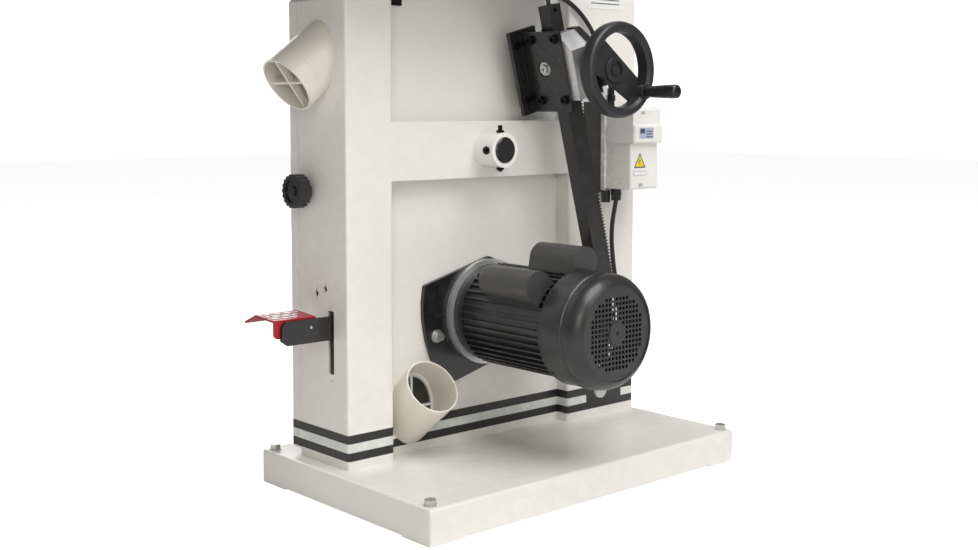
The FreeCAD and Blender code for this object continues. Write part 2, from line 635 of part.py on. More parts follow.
def make_tension():
    """The sliding carriage of the upper axle, its guide, its screw and the tension handwheel."""
    block = span("carriage_block", ("wheel_x - carriage_half", "wheel_x + carriage_half"),
                 ("carriage_front", "carriage_back"), ("carriage_low", "carriage_high"))
    bore = rod("carriage_bore", "Z", ("wheel_x", "tension_y", "screw_end - 12"),
               "screw_radius + screw_gap", 80)
    carriage = cut("carriage_cut", block, bore)
    axle = turned("upper_axle_turned", "Y", ("wheel_x", 0, "wheel_up"), [
        (0, -135), (22, -135), (22, -129), ("axle_radius", -129), ("axle_radius", "carriage_front"),
        (0, "carriage_front")])
    keep("wheel_carriage", group("carriage_group", carriage, axle))
    rails = []
    for side in (-1, 1):
        near = f"wheel_x + {side}*(carriage_half + rail_gap)"
        far = f"wheel_x + {side}*(carriage_half + rail_gap + rail_thick)"
        x = (near, far) if side > 0 else (far, near)
        rails.append(span("rail", x, ("carriage_front + 2", "panel_y - wall"),
                          ("rail_low", "rail_high")))
    reach = "(carriage_half + rail_gap + rail_thick)"
    bridge = span("rail_bridge", (f"wheel_x - {reach}", f"wheel_x + {reach}"),
                  ("carriage_front + 2", "panel_y - wall"), ("rail_high - 1", "rail_high + 12"))
    way = rod("rail_bridge_hole", "Z", ("wheel_x", "tension_y", "rail_high - 3"),
              "screw_radius + screw_gap", 20)
    HEAD_BRACKETS.append(cut("tension_guide_cut", fuse("tension_guide_solid", bridge, *rails), way))
    screw = turned("tension_screw_turned", "Z", ("wheel_x", "tension_y", 0), [
        (0, "screw_end"), ("screw_radius", "screw_end"), ("screw_radius", "rail_high + 12.3"),
        ("screw_radius + 3", "rail_high + 12.3"), ("screw_radius + 3", "rail_high + 20"),
        ("screw_radius", "rail_high + 20"), ("screw_radius", "crank_low + 10"),
        (0, "crank_low + 10")])
    rim = turned("crank_rim", "Z", ("wheel_x", "tension_y", "crank_low"), [
        ("crank_radius - 12", 3), ("crank_radius - 9", 0), ("crank_radius - 3", 0),
        ("crank_radius", 4), ("crank_radius", 16), ("crank_radius - 3", 20),
        ("crank_radius - 9", 20), ("crank_radius - 12", 17)])
    hub = turned("crank_hub", "Z", ("wheel_x", "tension_y", "crank_low"), [
        ("screw_radius", 0), (16, 0), (16, 22), (0, 22), (0, 10), ("screw_radius", 10)])
    arms = [span("crank_arm", ("wheel_x + 14", "wheel_x + crank_radius - 8"),
                 ("tension_y - 7", "tension_y + 7"), ("crank_low + 6", "crank_low + 14")),
            span("crank_arm", ("wheel_x - crank_radius + 8", "wheel_x - 14"),
                 ("tension_y - 7", "tension_y + 7"), ("crank_low + 6", "crank_low + 14")),
            span("crank_arm", ("wheel_x - 7", "wheel_x + 7"),
                 ("tension_y + 14", "tension_y + crank_radius - 8"),
                 ("crank_low + 6", "crank_low + 14"))]
    wheel = fuse("tension_handwheel_solid", rim, hub, *arms)
    keep("tension_handwheel", group("tension_handwheel_group", wheel, screw))


# ---------------------------------------------------------------- motor

rows(
    plate_back=-36, flange_back=-27, bell_end=-4, bell_radius=87, stator_end=200, stator_core=84,
    fin_radius=91, flange_radius=96, fin_width=3.4, fin_count=44, stator_bore=56, cover_radius=98, cover_end=288, cover_wall=2.5,
    grille_radius=68, grille_pitch=8.2, grille_hole=5.5, grille_blank=20, grille_rim=79.6, grille_sink=2.5,
    shaft_radius=12, rotor_radius=54, fan_radius=82, fan_low=212, fan_high=244,
    loaf_half=28, loaf_low=84, loaf_high=137,
)


def make_motor_plate():
    """The slotted mounting plate on the rear sheet, and its bolts."""
    corners = [(5, 392), (-110, 344), (-130, 300), (-110, 224), (88, 172), (139, 214), (153, 252),
               (160, 290), (161, 320), (157, 351)]
    plate = rounded("plate_rounded", outline("plate_outline", "XZ", corners, "panel_y", "plate_back"),
                    "corner_round", lambda p, t: abs(t.y) > 0.99)
    keep("motor_plate", cut("plate_drilled", plate, rod("plate_hole", "Y", (
        "motor_x", "panel_y - 1", "motor_z"), "shaft_hole", 12)))
    bolts = []
    for x, z in ((131, 259), (-104, 320), (-98, 240)):
        washer = rod("plate_washer", "Y", (x, "plate_back", z), 12, 2)
        spacer = rod("plate_spacer", "Y", (x, "plate_back + 2", z), 9, 5)
        head = hexagon("plate_bolt_head", "Y", (x, "plate_back + 7", z), 8, 7)
        bolts.append(fuse("plate_bolt", washer, spacer, head))
    FASTENERS.extend(bolts)


    lug = rod("cover_lug_disc", "Y", ("motor_x", 247, "motor_z - cover_radius - 2"), 12.5, 5)
    FASTENERS.append(cut("cover_lug", lug, rod("cover_lug_seat", "Y", ("motor_x", 240, "motor_z"),
                                               "cover_radius + 1.4", 20)))


def finned_shape():
    """The stator housing: a barrel with cooling fins that run along its axis."""
    core, tip, half = dim("stator_core"), dim("fin_radius"), dim("fin_width") / 2
    count = int(dim("fin_count"))
    points = []
    for i in range(count):
        middle = math.tau * i / count
        for radius, side in ((core, -1), (tip, -1), (tip, 1), (core, 1)):
            angle = middle + side * half / radius
            points.append(V(radius * math.cos(angle), 0, radius * math.sin(angle)))
    start, low, high = dim("flange_back"), dim("bell_end"), dim("stator_end")
    barrel = prism(points, V(0, high - low, 0))
    barrel.translate(V(dim("motor_x"), low, dim("motor_z")))
    bell = Part.makeCylinder(dim("bell_radius"), low - start, V(dim("motor_x"), start, dim("motor_z")),
                             V(0, 1, 0))
    barrel = barrel.fuse(bell)
    bore = Part.makeCylinder(dim("stator_bore"), high - start + 2,
                             V(dim("motor_x"), start - 1, dim("motor_z")), V(0, 1, 0))
    return barrel.cut(bore)


def loaf_shape(angle, low, high):
    """A rounded capacitor cover that lies along the motor, turned round its axis by an angle."""
    half, foot, top = dim("loaf_half"), dim("loaf_low"), dim("loaf_high")
    shoulder = top - half * 0.95
    edges = [
        Part.LineSegment(V(-half, 0, foot), V(half, 0, foot)),
        Part.LineSegment(V(half, 0, foot), V(half, 0, shoulder)),
        Part.Arc(V(half, 0, shoulder), V(0, 0, top), V(-half, 0, shoulder)),
        Part.LineSegment(V(-half, 0, shoulder), V(-half, 0, foot)),
    ]
    solid = Part.Face(Part.Wire([e.toShape() for e in edges])).extrude(V(0, high - low, 0))
    rims = [e for e in solid.Edges if abs(e.CenterOfMass.y) < 0.01 and e.CenterOfMass.z > foot + 5]
    solid = solid.makeFillet(8, rims)
    solid.rotate(V(), V(0, 1, 0), 90 - angle)
    solid.translate(V(dim("motor_x"), low, dim("motor_z")))
    barrel = Part.makeCylinder(dim("fin_radius"), 500, V(dim("motor_x"), -100, dim("motor_z")),
                               V(0, 1, 0))
    return max(solid.cut(barrel).Solids, key=lambda s: s.Volume)


def make_motor():
    """The foot-less induction motor: end bell, finned stator, fan cover, rotor, fan and covers."""
    axis = ("motor_x", 0, "motor_z")
    keep("motor_flange", turned("end_bell_turned", "Y", axis, [
        ("shaft_hole - 6", "plate_back"), ("flange_radius", "plate_back"),
        ("flange_radius", "flange_back"), ("shaft_hole - 6", "flange_back")]))
    keep("motor_body", moulded("stator_shape", finned_shape()))
    ROTOR.append(turned("rotor_turned", "Y", axis, [
        (0, "pulley_front - 3"), ("shaft_radius", "pulley_front - 3"), ("shaft_radius", "-8"),
        ("rotor_radius", "-8"), ("rotor_radius", "stator_end - 14"),
        ("shaft_radius", "stator_end - 14"), ("shaft_radius", "fan_high + 6"), (0, "fan_high + 6")]))
    keep("motor_rotor", group("rotor_group", *ROTOR))
    hub = turned("fan_hub", "Y", axis, [
        ("shaft_radius", "fan_low"), (26, "fan_low"), (26, "fan_high"), ("shaft_radius", "fan_high")])
    blades = []
    for i in range(6):
        blade = DOC.addObject("Part::Box", "fan_blade")
        blade.setExpression("Length", formula("fan_radius - 22"))
        blade.Width = 28
        blade.Height = 3
        centre = V(dim("motor_x"), dim("fan_low") + 2, dim("motor_z"))
        turn = FreeCAD.Rotation(V(0, 1, 0), 60 * i)
        blade.Placement = FreeCAD.Placement(centre + turn.multVec(V(22, 0, -1.5)), turn)
        blades.append(blade)
    keep("motor_fan", fuse("fan_solid", hub, *blades))
    keep("fan_cover", moulded("cover_shape", cover_shape()))
    near = loaf_shape(42, 60, dim("stator_end") - 15)
    far = loaf_shape(99, 84, dim("stator_end") - 2)
    keep("motor_covers", group("motor_cover_group", moulded("start_cover_shape", near),
                               moulded("run_cover_shape", far), *terminal_box()))


def cover_shape():
    """The fan cover: a cup with a bead and a broad rounded end, and a grid of square air holes."""
    radius, wall, sink = dim("cover_radius"), dim("cover_wall"), dim("grille_sink")
    low, high, rim = dim("stator_end"), dim("cover_end"), dim("grille_rim")
    centre = V(dim("motor_x"), 0, dim("motor_z"))
    way = V(0, 1, 0)
    outer = [V(0, low, 0), V(radius, low, 0), V(radius, 244, 0), V(radius + 1.3, 246, 0),
             V(radius + 1.3, 250, 0), V(radius - 0.6, 252, 0), V(radius - 0.6, 260, 0)]
    curve = Part.Arc(outer[-1], V(radius - 5, high - 11, 0), V(rim + 0.6, high, 0)).toShape()
    closing = [V(rim + 0.6, high, 0), V(rim, high - sink, 0), V(0, high - sink, 0), V(0, low, 0)]
    edges = Part.makePolygon(outer).Edges + [curve] + Part.makePolygon(closing).Edges
    cup = Part.Face(Part.Wire(edges)).revolve(V(), way, 360)
    inner = [V(0, low - 1, 0), V(radius - wall, low - 1, 0), V(radius - wall, 244, 0),
             V(radius - wall - 1, 258, 0), V(radius - wall - 5, 272, 0), V(rim, high - 6.5, 0),
             V(rim - 2, high - sink - wall, 0), V(0, high - sink - wall, 0), V(0, low - 1, 0)]
    cup = cup.cut(Part.Face(Part.makePolygon(inner)).revolve(V(), way, 360))
    cup.translate(centre)
    pitch, half = dim("grille_pitch"), dim("grille_hole") / 2
    holes = []
    steps = int(dim("grille_radius") / pitch)
    for i in range(-steps, steps + 1):
        for j in range(-steps, steps + 1):
            reach = math.hypot(i, j) * pitch
            if dim("grille_blank") < reach < dim("grille_radius") - half:
                corner = centre + V(i * pitch - half, high - 12, j * pitch - half)
                holes.append(Part.makeBox(2 * half, 24, 2 * half, corner))
    cup = cup.cut(Part.makeCompound(holes))
    badge = Part.makeCylinder(dim("grille_blank") - 1, sink, centre + way * (high - sink - 1), way)
    dimple = Part.makeCylinder(3, 3, centre + way * (high - 3), way)
    return cup.fuse(badge).cut(dimple).removeSplitter()


rows(
    terminal_low=-122, terminal_front=60, terminal_back=140, terminal_z=285, terminal_half=45,
    gland_radius=11, cord_radius=4.3,
)


def terminal_box():
    """The wiring box on the side of the motor, with the gland of its lead."""
    box = span("terminal_box_solid", ("terminal_low", "motor_x - stator_core + 6"),
               ("terminal_front", "terminal_back"),
               ("terminal_z - terminal_half", "terminal_z + terminal_half"))
    barrel = rod("terminal_barrel", "Y", ("motor_x", 0, "motor_z"), "fin_radius", 300)
    nut = hexagon("terminal_nut", "X", ("terminal_low - 7", 100, 262), "gland_radius", 7)
    neck = rod("terminal_neck", "X", ("terminal_low - 21", 100, 262), "gland_radius - 3", 14)
    return [cut("terminal_box_cut", box, barrel), fuse("terminal_gland_solid", nut, neck)]


# ---------------------------------------------------------------- switch box and cords

rows(
    switch_low=507, switch_high=664, switch_left=-343, switch_right=-265, switch_face=65,
    switch_step=70, switch_band_y=76, switch_round=7,
    panel_left=-340, panel_right=-210, panel_front=-200, panel_low=1100, panel_high=1260,
    button_radius=14, button_gap=0.4, start_z=1215, stop_z=1145, button_x=-275,
)

FEED = [(-165, -103, 905), (-142.9, -103, 903), (-122, -90.9, 900), (-110, -70.1, 896),
        (-110, -45.9, 889), (-122, -25.1, 881.5), (-142.9, -13, 873), (-165, -9.5, 863.5),
        (-190, -8.5, 850), (-211, -8, 833), (-228, -7, 814.5), (-241, -6, 794.5), (-250, -4, 771.5),
        (-259, 0, 747), (-266, 4, 724.5), (-271, 7, 702)]
LEAD = [(-278, 16, 482), (-273, 15.5, 462), (-268.5, 15, 438), (-267, 15, 410), (-270, 15, 380),
        (-275, 15, 350), (-281, 16, 320), (-283, 22, 292), (-277, 34, 266), (-262, 50, 247),
        (-240, 66, 236), (-214, 78, 234), (-188, 90, 242), (-163, 98, 255), (-143, 100, 262)]


def cord_shape(route, radius):
    """A round cord: straight runs joined by tangent arcs."""
    points = [V(*p) for p in route]
    edges, start, bends = [], points[0], []
    for before, here, after in zip(points, points[1:], points[2:]):
        back, ahead = before - here, after - here
        reach = 0.45 * min(back.Length, ahead.Length)
        back.normalize()
        ahead.normalize()
        half = (math.pi - back.getAngle(ahead)) / 2
        bend = reach / math.tan(half)
        inward = (back + ahead).normalize()
        first, last = here + back * reach, here + ahead * reach
        middle = here + inward * (bend / math.cos(half) - bend)
        edges += [Part.LineSegment(start, first), Part.Arc(first, middle, last)]
        bends.append(bend)
        start = last
    edges.append(Part.LineSegment(start, points[-1]))
    path = Part.Wire([e.toShape() for e in edges])
    section = Part.Wire(Part.Circle(points[0], points[1] - points[0], radius).toShape())
    tube = path.makePipeShell([section], True, False)
    print("cord", round(path.Length, 1), "tightest bend", round(min(bends), 1), "volume ratio",
          round(tube.Volume / (math.pi * radius ** 2 * path.Length), 4))
    return tube


def make_switch():
    """The overload switch box on its plate, its glands, and the two cords that meet it."""
    keep("switch_plate", span("switch_plate_sheet", (-300, -220), ("pillar_y", "pillar_y + 6"),
                              (500, 674)))
    keep("switch_base", span("switch_base_box", ("switch_left", "switch_right + 3"), (-10, 0),
                             ("switch_low - 4", "switch_high + 2")))
    face, step, top = dim("switch_face"), dim("switch_step"), dim("switch_high")
    low = rounded("switch_low_rounded", span(
        "switch_low_box", ("switch_left", "switch_right"), (0, "switch_face"), ("switch_low", 600)),
        "corner_round", lambda p, t: p.y > face - 0.01 and p.z < 599)
    high = rounded("switch_high_rounded", span(
        "switch_high_box", ("switch_left", "switch_right"), (0, "switch_step"), (620, "switch_high")),
        "switch_round", lambda p, t: p.y > step - 0.01 and p.z > top - 0.01)
    band = rounded("switch_band_rounded", span(
        "switch_band", ("switch_left - 1.5", "switch_right + 1.5"), (3, "switch_band_y"), (595, 631)),
        "corner_round", lambda p, t: p.y > step + 1)
    keep("switch_cover", fuse("switch_cover_solid", low, high, band))
    glands = [
        rod("feed_gland", "Z", (-271, 7, 664), 7, 36),
        rod("lead_gland", "Z", (-278, 16, 484), 9.5, 23),
        rod("spare_gland", "Z", (-267, -1, 480), 9, 23),
        rod("column_gland", "X", ("throat_x", -103, 905), 9, 11),
    ]
    nuts = [
        hexagon("feed_nut", "Z", (-271, 7, 676), 9, 11),
        hexagon("lead_nut", "Z", (-278, 16, 494), 10.4, 8),
        hexagon("column_nut", "X", ("throat_x", -103, 905), 12, 6),
    ]
    joined = [fuse("feed_gland_set", glands[0], nuts[0]), fuse("lead_gland_set", glands[1], nuts[1]),
              glands[2], fuse("column_gland_set", glands[3], nuts[2])]
    keep("cord_glands", group("cord_gland_group", *joined))
    keep("feed_cord", moulded("feed_cord_tube", cord_shape(
        [(-167, -103, 905)] + FEED[1:-1] + [(-271, 7, 700)], dim("cord_radius"))))
    keep("motor_cord", moulded("motor_cord_tube", cord_shape(
        [(-278, 16, 484)] + LEAD[1:], dim("cord_radius"))))


def make_controls():
    """The start and stop station on the operator's side of the column."""
    box = span("control_box", ("panel_left", "panel_right"), ("panel_front", "seam_y"),
               ("panel_low", "panel_high"))
    front = dim("panel_front")
    box = rounded("control_rounded", box, "corner_round", lambda p, t: p.y < front + 0.01)
    holes = []
    for name, z in (("start", "start_z"), ("stop", "stop_z")):
        holes.append(rod(f"{name}_hole", "Y", ("button_x", "panel_front - 1", z),
                         "button_radius + button_gap", 13))
        keep(f"{name}_button", turned(f"{name}_button_turned", "Y", ("button_x", "panel_front", z), [
            (0, 6), ("button_radius", 6), ("button_radius", -5), ("button_radius - 2", -7), (0, -7)]))
    keep("control_panel", cut("control_panel_cut", box, *holes))


# ---------------------------------------------------------------- table tilt gear

rows(
    gear_x=-81.9, gear_y=53, gear_z=745, gear_tilt=15, bar_left=-16, bar_right=12, bar_half=14,
    bar_low=-460, bar_high=103.5, rack_root=-26, rack_tip=-30.5, module=2, pinion_teeth=20,
    pinion_x=-48.5, pinion_z=-28.6, pinion_half=12, shaft=8, shaft_gap_y=0.06, gear_window=15,
    case_radius=28.4, tappet_radius=4, tappet_rise=16,
    tilt_x=271, tilt_z=952, hand_outer=85.5, hand_inner=67, handle_reach=70.7, handle_low=166,
    handle_high=236, handle_radius=12.3, handle_pin=5,
)


GEAR_BOLTS = ((-26, 48.5), (34, 48.5), (-25, -63), (34, -62))


def tilted(item):
    """Turn a piece drawn in the gearbox's own axes into the frame of the machine."""
    item.Placement = FreeCAD.Placement(V(), FreeCAD.Rotation(V(0, 1, 0), dim("gear_tilt")))
    put(item, ("gear_x", "gear_y", "gear_z"))
    return item


def rack_shape():
    """The toothed strip on the back of the lifting bar."""
    pitch = math.pi * dim("module")
    root, tip = dim("rack_root"), dim("rack_tip")
    low, high = dim("bar_low") + 5, 45
    points = [V(dim("bar_left"), -13, low), V(dim("bar_left"), -13, high), V(root, -13, high)]
    first = int((high - 4 - dim("pinion_z")) / pitch)
    last = int((low + 4 - dim("pinion_z")) / pitch)
    for i in range(first, last - 1, -1):
        middle = dim("pinion_z") + i * pitch
        for x, half in ((root, 2.2), (tip, 0.55), (tip, -0.55), (root, -2.2)):
            points.append(V(x, -13, middle + half))
    points.append(V(root, -13, low))
    return prism(points, V(0, 26, 0))


def pinion_shape():
    """The pinion that lifts the rack, with a little backlash."""
    teeth, pitch_radius = int(dim("pinion_teeth")), dim("module") * dim("pinion_teeth") / 2
    base = pitch_radius * math.cos(math.radians(20))
    points = []
    for i in range(teeth):
        middle = math.tau * (i + 0.5) / teeth
        flank = []
        for radius in (17.4, 18.9, 20, 21, 21.9):
            lean = math.acos(min(1, base / radius)) if radius > base else 0
            half = 1.3 / pitch_radius + 0.0149 - (math.tan(lean) - lean)
            flank.append((radius, half))
        ring = [(r, middle - half) for r, half in flank]
        ring += [(r, middle + half) for r, half in reversed(flank)]
        points += [V(r * math.cos(a), 0, r * math.sin(a)) for r, a in ring]
    gear = prism(points, V(0, 2 * dim("pinion_half"), 0))
    gear.translate(V(dim("pinion_x"), -dim("pinion_half"), dim("pinion_z")))
    return gear


def make_gearbox():
    """The bracket, the guide block, the pinion case and the lifting bar with its rack."""
    plate = fuse("gear_plate_solid",
                 span("gear_plate_main", (26, 32), (-58, 45), (-84, 62)),
                 span("gear_plate_flange", (-10, 56), (-62, -54), (-86, 68)),
                 span("gear_plate_pad", (-10, 24), (-97, -62), (-80, 60)))
    window = rod("gear_plate_window", "X", (25, -5, -5), "gear_window", 8)
    slots = [span("gear_plate_slot", (25, 33), (y - 14, y), (z - 4.5, z + 4.5)) for y, z in GEAR_BOLTS]
    keep("gearbox_plate", tilted(cut("gear_plate_cut", plate, window, *slots)))
    block = outline("gear_block_outline", "YZ",
                    [(15.5, -65), (64, -65), (64, 25), (35, 54.5), (15.5, 54.5)], -20, 26)
    keep("gear_block", tilted(block))
    wall = outline("case_wall", "YZ", [(-50, -65), (66, -65), (66, 27), (36.5, 57), (-50, 57)], -33, -20)
    case = fuse("case_solid", wall, span("case_guide", (-20, 26), (-50, -15), (-62, 54.5)),
                rod("case_drum", "Y", ("pinion_x", -50, "pinion_z"), "case_radius", 110))
    tools = [
        span("case_channel", (-33.1, -19.9), (-15.5, 15.5), (-66, 58)),
        rod("case_cavity", "Y", ("pinion_x", "-pinion_half - 1", "pinion_z"), 24,
            "2*pinion_half + 2"),
        rod("case_bore", "Y", ("pinion_x", -60, "pinion_z"), "shaft + shaft_gap_y", 130),
    ]
    keep("pinion_case", tilted(cut("case_cut", case, *tools)))
    bar = span("bar_box", ("bar_left", "bar_right"), ("-bar_half", "bar_half"), ("bar_low", "bar_high"))
    tappet = rod("bar_tappet", "Z", (-2, 0, "bar_high - 20"), "tappet_radius", "tappet_rise + 20")
    bar = cut("bar_drilled", fuse("bar_solid", bar, tappet), rod("bar_hole", "Y", (-2, -20, 94), 4, 40))
    keep("rack_bar", tilted(group("rack_group", bar, moulded("rack_strip", rack_shape()))))
    shaft = rod("pinion_shaft", "Y", ("pinion_x", -45, "pinion_z"), "shaft", 123)
    keep("tilt_pinion", tilted(fuse("pinion_solid", shaft, moulded("pinion_gear", pinion_shape()))))
    bolts = []
    for y, z in GEAR_BOLTS:
        washer = rod("gear_washer", "X", (32, y, z), 8.5, 1.6)
        head = rod("gear_head", "X", (33.6, y, z), 7, 6.5)
        socket = hexagon("gear_socket", "X", (36, y, z), 4, 6)
        bolts.append(cut("gear_bolt", fuse("gear_bolt_solid", washer, head), socket))
    collar = rod("gear_collar", "X", (26, -5, -5), "gear_window - 2", 5)
    head = hexagon("gear_centre_head", "X", (31, -3, -5), 9, 7)
    socket = rod("gear_centre_socket", "X", (34, -3, -5), 3, 6)
    bolts.append(cut("gear_centre", fuse("gear_centre_solid", collar, head), socket))
    for x, z in ((43, 41.7), (41.3, -59.4)):
        washer = rod("flange_washer", "Y", (x, -54, z), 7.5, 1.6)
        head = rod("flange_head", "Y", (x, -52.4, z), 6, 5)
        socket = hexagon("flange_socket", "Y", (x, -50, z), 3.4, 6)
        bolts.append(cut("flange_bolt", fuse("flange_bolt_solid", washer, head), socket))
    FASTENERS.append(tilted(group("gear_bolt_group", *bolts)))


def world_of(x, z):
    """A point in the gearbox's own axes, as X and Z of the machine."""
    turn = math.radians(dim("gear_tilt"))
    return (dim("gear_x") + x * math.cos(turn) + z * math.sin(turn),
            dim("gear_z") - x * math.sin(turn) + z * math.cos(turn))


def make_tilt_handwheel():
    """The dished handwheel of the tilt gear with its broad two-armed web, and its turning grip."""
    x, z = world_of(dim("pinion_x"), dim("pinion_z"))
    rim = turned("hand_rim", "Y", (x, 0, z), [
        ("hand_inner", 137), ("hand_inner + 4", 132), ("hand_outer - 6", 132), ("hand_outer - 1", 140),
        ("hand_outer", 146), ("hand_outer", 154), ("hand_outer - 1.5", 159),
        ("hand_outer - 5", 162.5), ("hand_inner + 5", 162.5), ("hand_inner", 158)])
    hub = turned("hand_hub", "Y", (x, 0, z), [
        ("shaft", 119), (24, 119), (24, 143), (22.5, 145), (16, 145), (15, 138), (0, 138), (0, 131),
        ("shaft", 131)])
    nut = hexagon("hand_nut", "Y", (x, 137, z), 9, 6)
    angle = math.atan2(-0.546, -0.837)
    along = V(math.cos(angle), 0, math.sin(angle))
    across = V(-along.z, 0, along.x)
    corners = [(-70, 31), (70, 22), (70, -22), (-70, -31)]
    web = prism([along * u + across * w + V(x, 132, z) for u, w in corners], V(0, 8, 0))
    keeper = along * dim("handle_reach") + V(x, 150, z)
    boss = Part.makeCylinder(13, 14, keeper, V(0, 1, 0))
    pin = Part.makeCylinder(dim("handle_pin"), 77, keeper, V(0, 1, 0))
    lug = moulded("hand_web", web.fuse(boss).fuse(pin).common(
        Part.makeCylinder(dim("handle_reach") + 13, 140, V(x, 130, z), V(0, 1, 0))))
    keep("tilt_handwheel", fuse("tilt_handwheel_solid", rim, hub, nut, lug))
    grip_x, grip_z = keeper.x, keeper.z
    low, high = "handle_low", "handle_high"
    bore = "handle_pin + shaft_gap_y"
    keep("tilt_handle", turned("grip_turned", "Y", (grip_x, 0, grip_z), [
        (bore, low), ("handle_radius - 2.6", low), ("handle_radius - 2.2", f"{low} + 8"),
        ("handle_radius - 0.6", f"{low} + 40"), ("handle_radius", f"{high} - 8"),
        ("handle_radius - 0.5", f"{high} - 2"), ("handle_radius - 2.5", high),
        ("handle_radius - 5.5", high), ("handle_radius - 6.5", f"{high} - 3"), (0, f"{high} - 3"),
        (0, f"{high} - 6"), (bore, f"{high} - 6")]))


# ---------------------------------------------------------------- table, trunnions and fence

rows(
    table_left=-150, table_right=530, table_front=-341, table_back=142, table_top=952,
    table_skin=12, table_deep=28, rim_wide=10, insert_radius=35, insert_gap=0.3, insert_thick=6,
    mitre_x=381, mitre_wide=19, mitre_deep=9.5, disc_radius=75, disc_gap=0.4,
    rail_y=-365, rail_z=915, rail_radius=15, fence_left=130, fence_right=140, fence_high=1033,
    shoe_reach=289.3, shoe_gap=0.4,
)


def make_table():
    """The ribbed cast table, its insert, and the trunnions and the shoe under it."""
    plate = span("table_plate", ("table_left", "table_right"), ("table_front", "table_back"),
                 ("table_top - table_deep", "table_top"))
    corner = [dim(n) for n in ("table_left", "table_right")]
    plate = rounded("table_rounded", plate, "rim_wide", lambda p, t: upright(t) and (
        abs(p.x - corner[0]) < 0.01 or abs(p.x - corner[1]) < 0.01))
    low = ("table_top - table_deep - 1", "table_top - table_skin")
    y = ("table_front + rim_wide", "table_back - rim_wide")
    tools = [
        span("table_pocket_left", ("table_left + rim_wide", 140), y, low),
        span("table_pocket_middle", (150, 404), y, low),
        span("table_pocket_right", (414, "table_right - rim_wide"), y, low),
        rod("insert_hole", "Z", ("blade_x", "wheel_y", "table_top - insert_thick"),
            "insert_radius + insert_gap", 20),
        rod("blade_hole", "Z", ("blade_x", "wheel_y", "table_top - 40"), 26, 60),
        span("saw_slot", ("blade_x - 1.5", "blade_x + 1.5"), ("table_front - 1", "wheel_y"),
             ("table_top - 40", "table_top + 1")),
        span("mitre_slot", ("mitre_x - mitre_wide/2", "mitre_x + mitre_wide/2"),
             ("table_front - 1", "table_back + 1"), ("table_top - mitre_deep", "table_top + 1")),
    ]
    keep("table", cut("table_cut", plate, *tools))
    insert = rod("insert_disc", "Z", ("blade_x", "wheel_y", "table_top - insert_thick"),
                 "insert_radius", "insert_thick")
    keep("table_insert", cut("insert_cut", insert, span(
        "insert_slot", ("blade_x - 2", "blade_x + 5"), ("wheel_y - 40", "wheel_y + 15"),
        ("table_top - 10", "table_top + 1"))))
    pieces, seats = [], []
    for y in (-157, -59):
        disc = rod("trunnion_disc", "Y", ("tilt_x", y, "tilt_z"), "disc_radius", 16)
        over = span("trunnion_over", ("tilt_x - 90", "tilt_x + 90"), (y - 1, y + 17),
                    ("table_top - table_skin", "table_top + 90"))
        pieces.append(cut("trunnion", disc, over))
        seat = span("cradle_box", (216, 308), (y, y + 16), ("shell_top", 890))
        seats.append(cut("cradle", seat, rod("cradle_disc", "Y", ("tilt_x", y - 1, "tilt_z"),
                                             "disc_radius + disc_gap", 18)))
    FASTENERS.append(span("cradle_clip", (205, 222), ("panel_y", "panel_y + 7"), (836, 866)))
    keep("trunnion_cradles", group("cradle_group", *seats))
    pieces.append(moulded("tilt_shoe", shoe_shape()))
    keep("trunnions", group("trunnion_group", *pieces))


def shoe_shape():
    """The involute shoe under the table: the bar's flat end lifts it at a constant ratio."""
    turn = math.radians(dim("gear_tilt"))
    dx, dz = dim("tilt_x") - dim("gear_x"), dim("tilt_z") - dim("gear_z")
    centre_x = dx * math.cos(turn) - dz * math.sin(turn)
    centre_z = dx * math.sin(turn) + dz * math.cos(turn)
    reach = dim("shoe_reach")
    start = dim("bar_high") + dim("tappet_rise") + dim("shoe_gap") - centre_z
    points = []
    for i in range(25):
        angle = -start / reach * i / 24
        lift = start + reach * angle
        x = centre_x - lift * math.sin(angle) - reach * math.cos(angle)
        z = centre_z + lift * math.cos(angle) - reach * math.sin(angle)
        points.append(world_of(x, z))
    top = dim("table_top") - dim("table_skin")
    points += [(points[-1][0] + 14, points[-1][1] + 22), (points[-1][0] + 14, top),
               (points[0][0] - 12, top), (points[0][0] - 12, points[0][1] + 22)]
    return prism([V(x, 45, z) for x, z in points], V(0, 16, 0))


def make_fence():
    """The round front rail on its brackets, and the fence that slides along it."""
    rail = rod("rail_rod", "X", (-180, "rail_y", "rail_z"), "rail_radius", 720)
    brackets = [span("rail_bracket", (x, x + 30), ("rail_y", "table_front"), (905, 930))
                for x in (-120, 120, 420)]
    keep("fence_rail", fuse("fence_rail_solid", rail, *brackets))
    head = span("fence_head", (95, 185), (-390, -343), (931, 975))
    face = span("fence_face", ("fence_left", "fence_right"), (-390, 130), (953, "fence_high"))
    keep("fence", fuse("fence_solid", head, face))


# ---------------------------------------------------------------- brake, guides

rows(
    brake_x=110, brake_z=294, arm_front=-65, arm_back=-59, arm_half=20, arm_end=438, arm_corner=8,
    brake_pin=6, brake_gap=0.06, pedal_left=368, pedal_right=449,
    pedal_skirt=286, pedal_corner=9,
    guide_low=1150, guide_high=1195, guard_high=1368, post_high=1600,
)


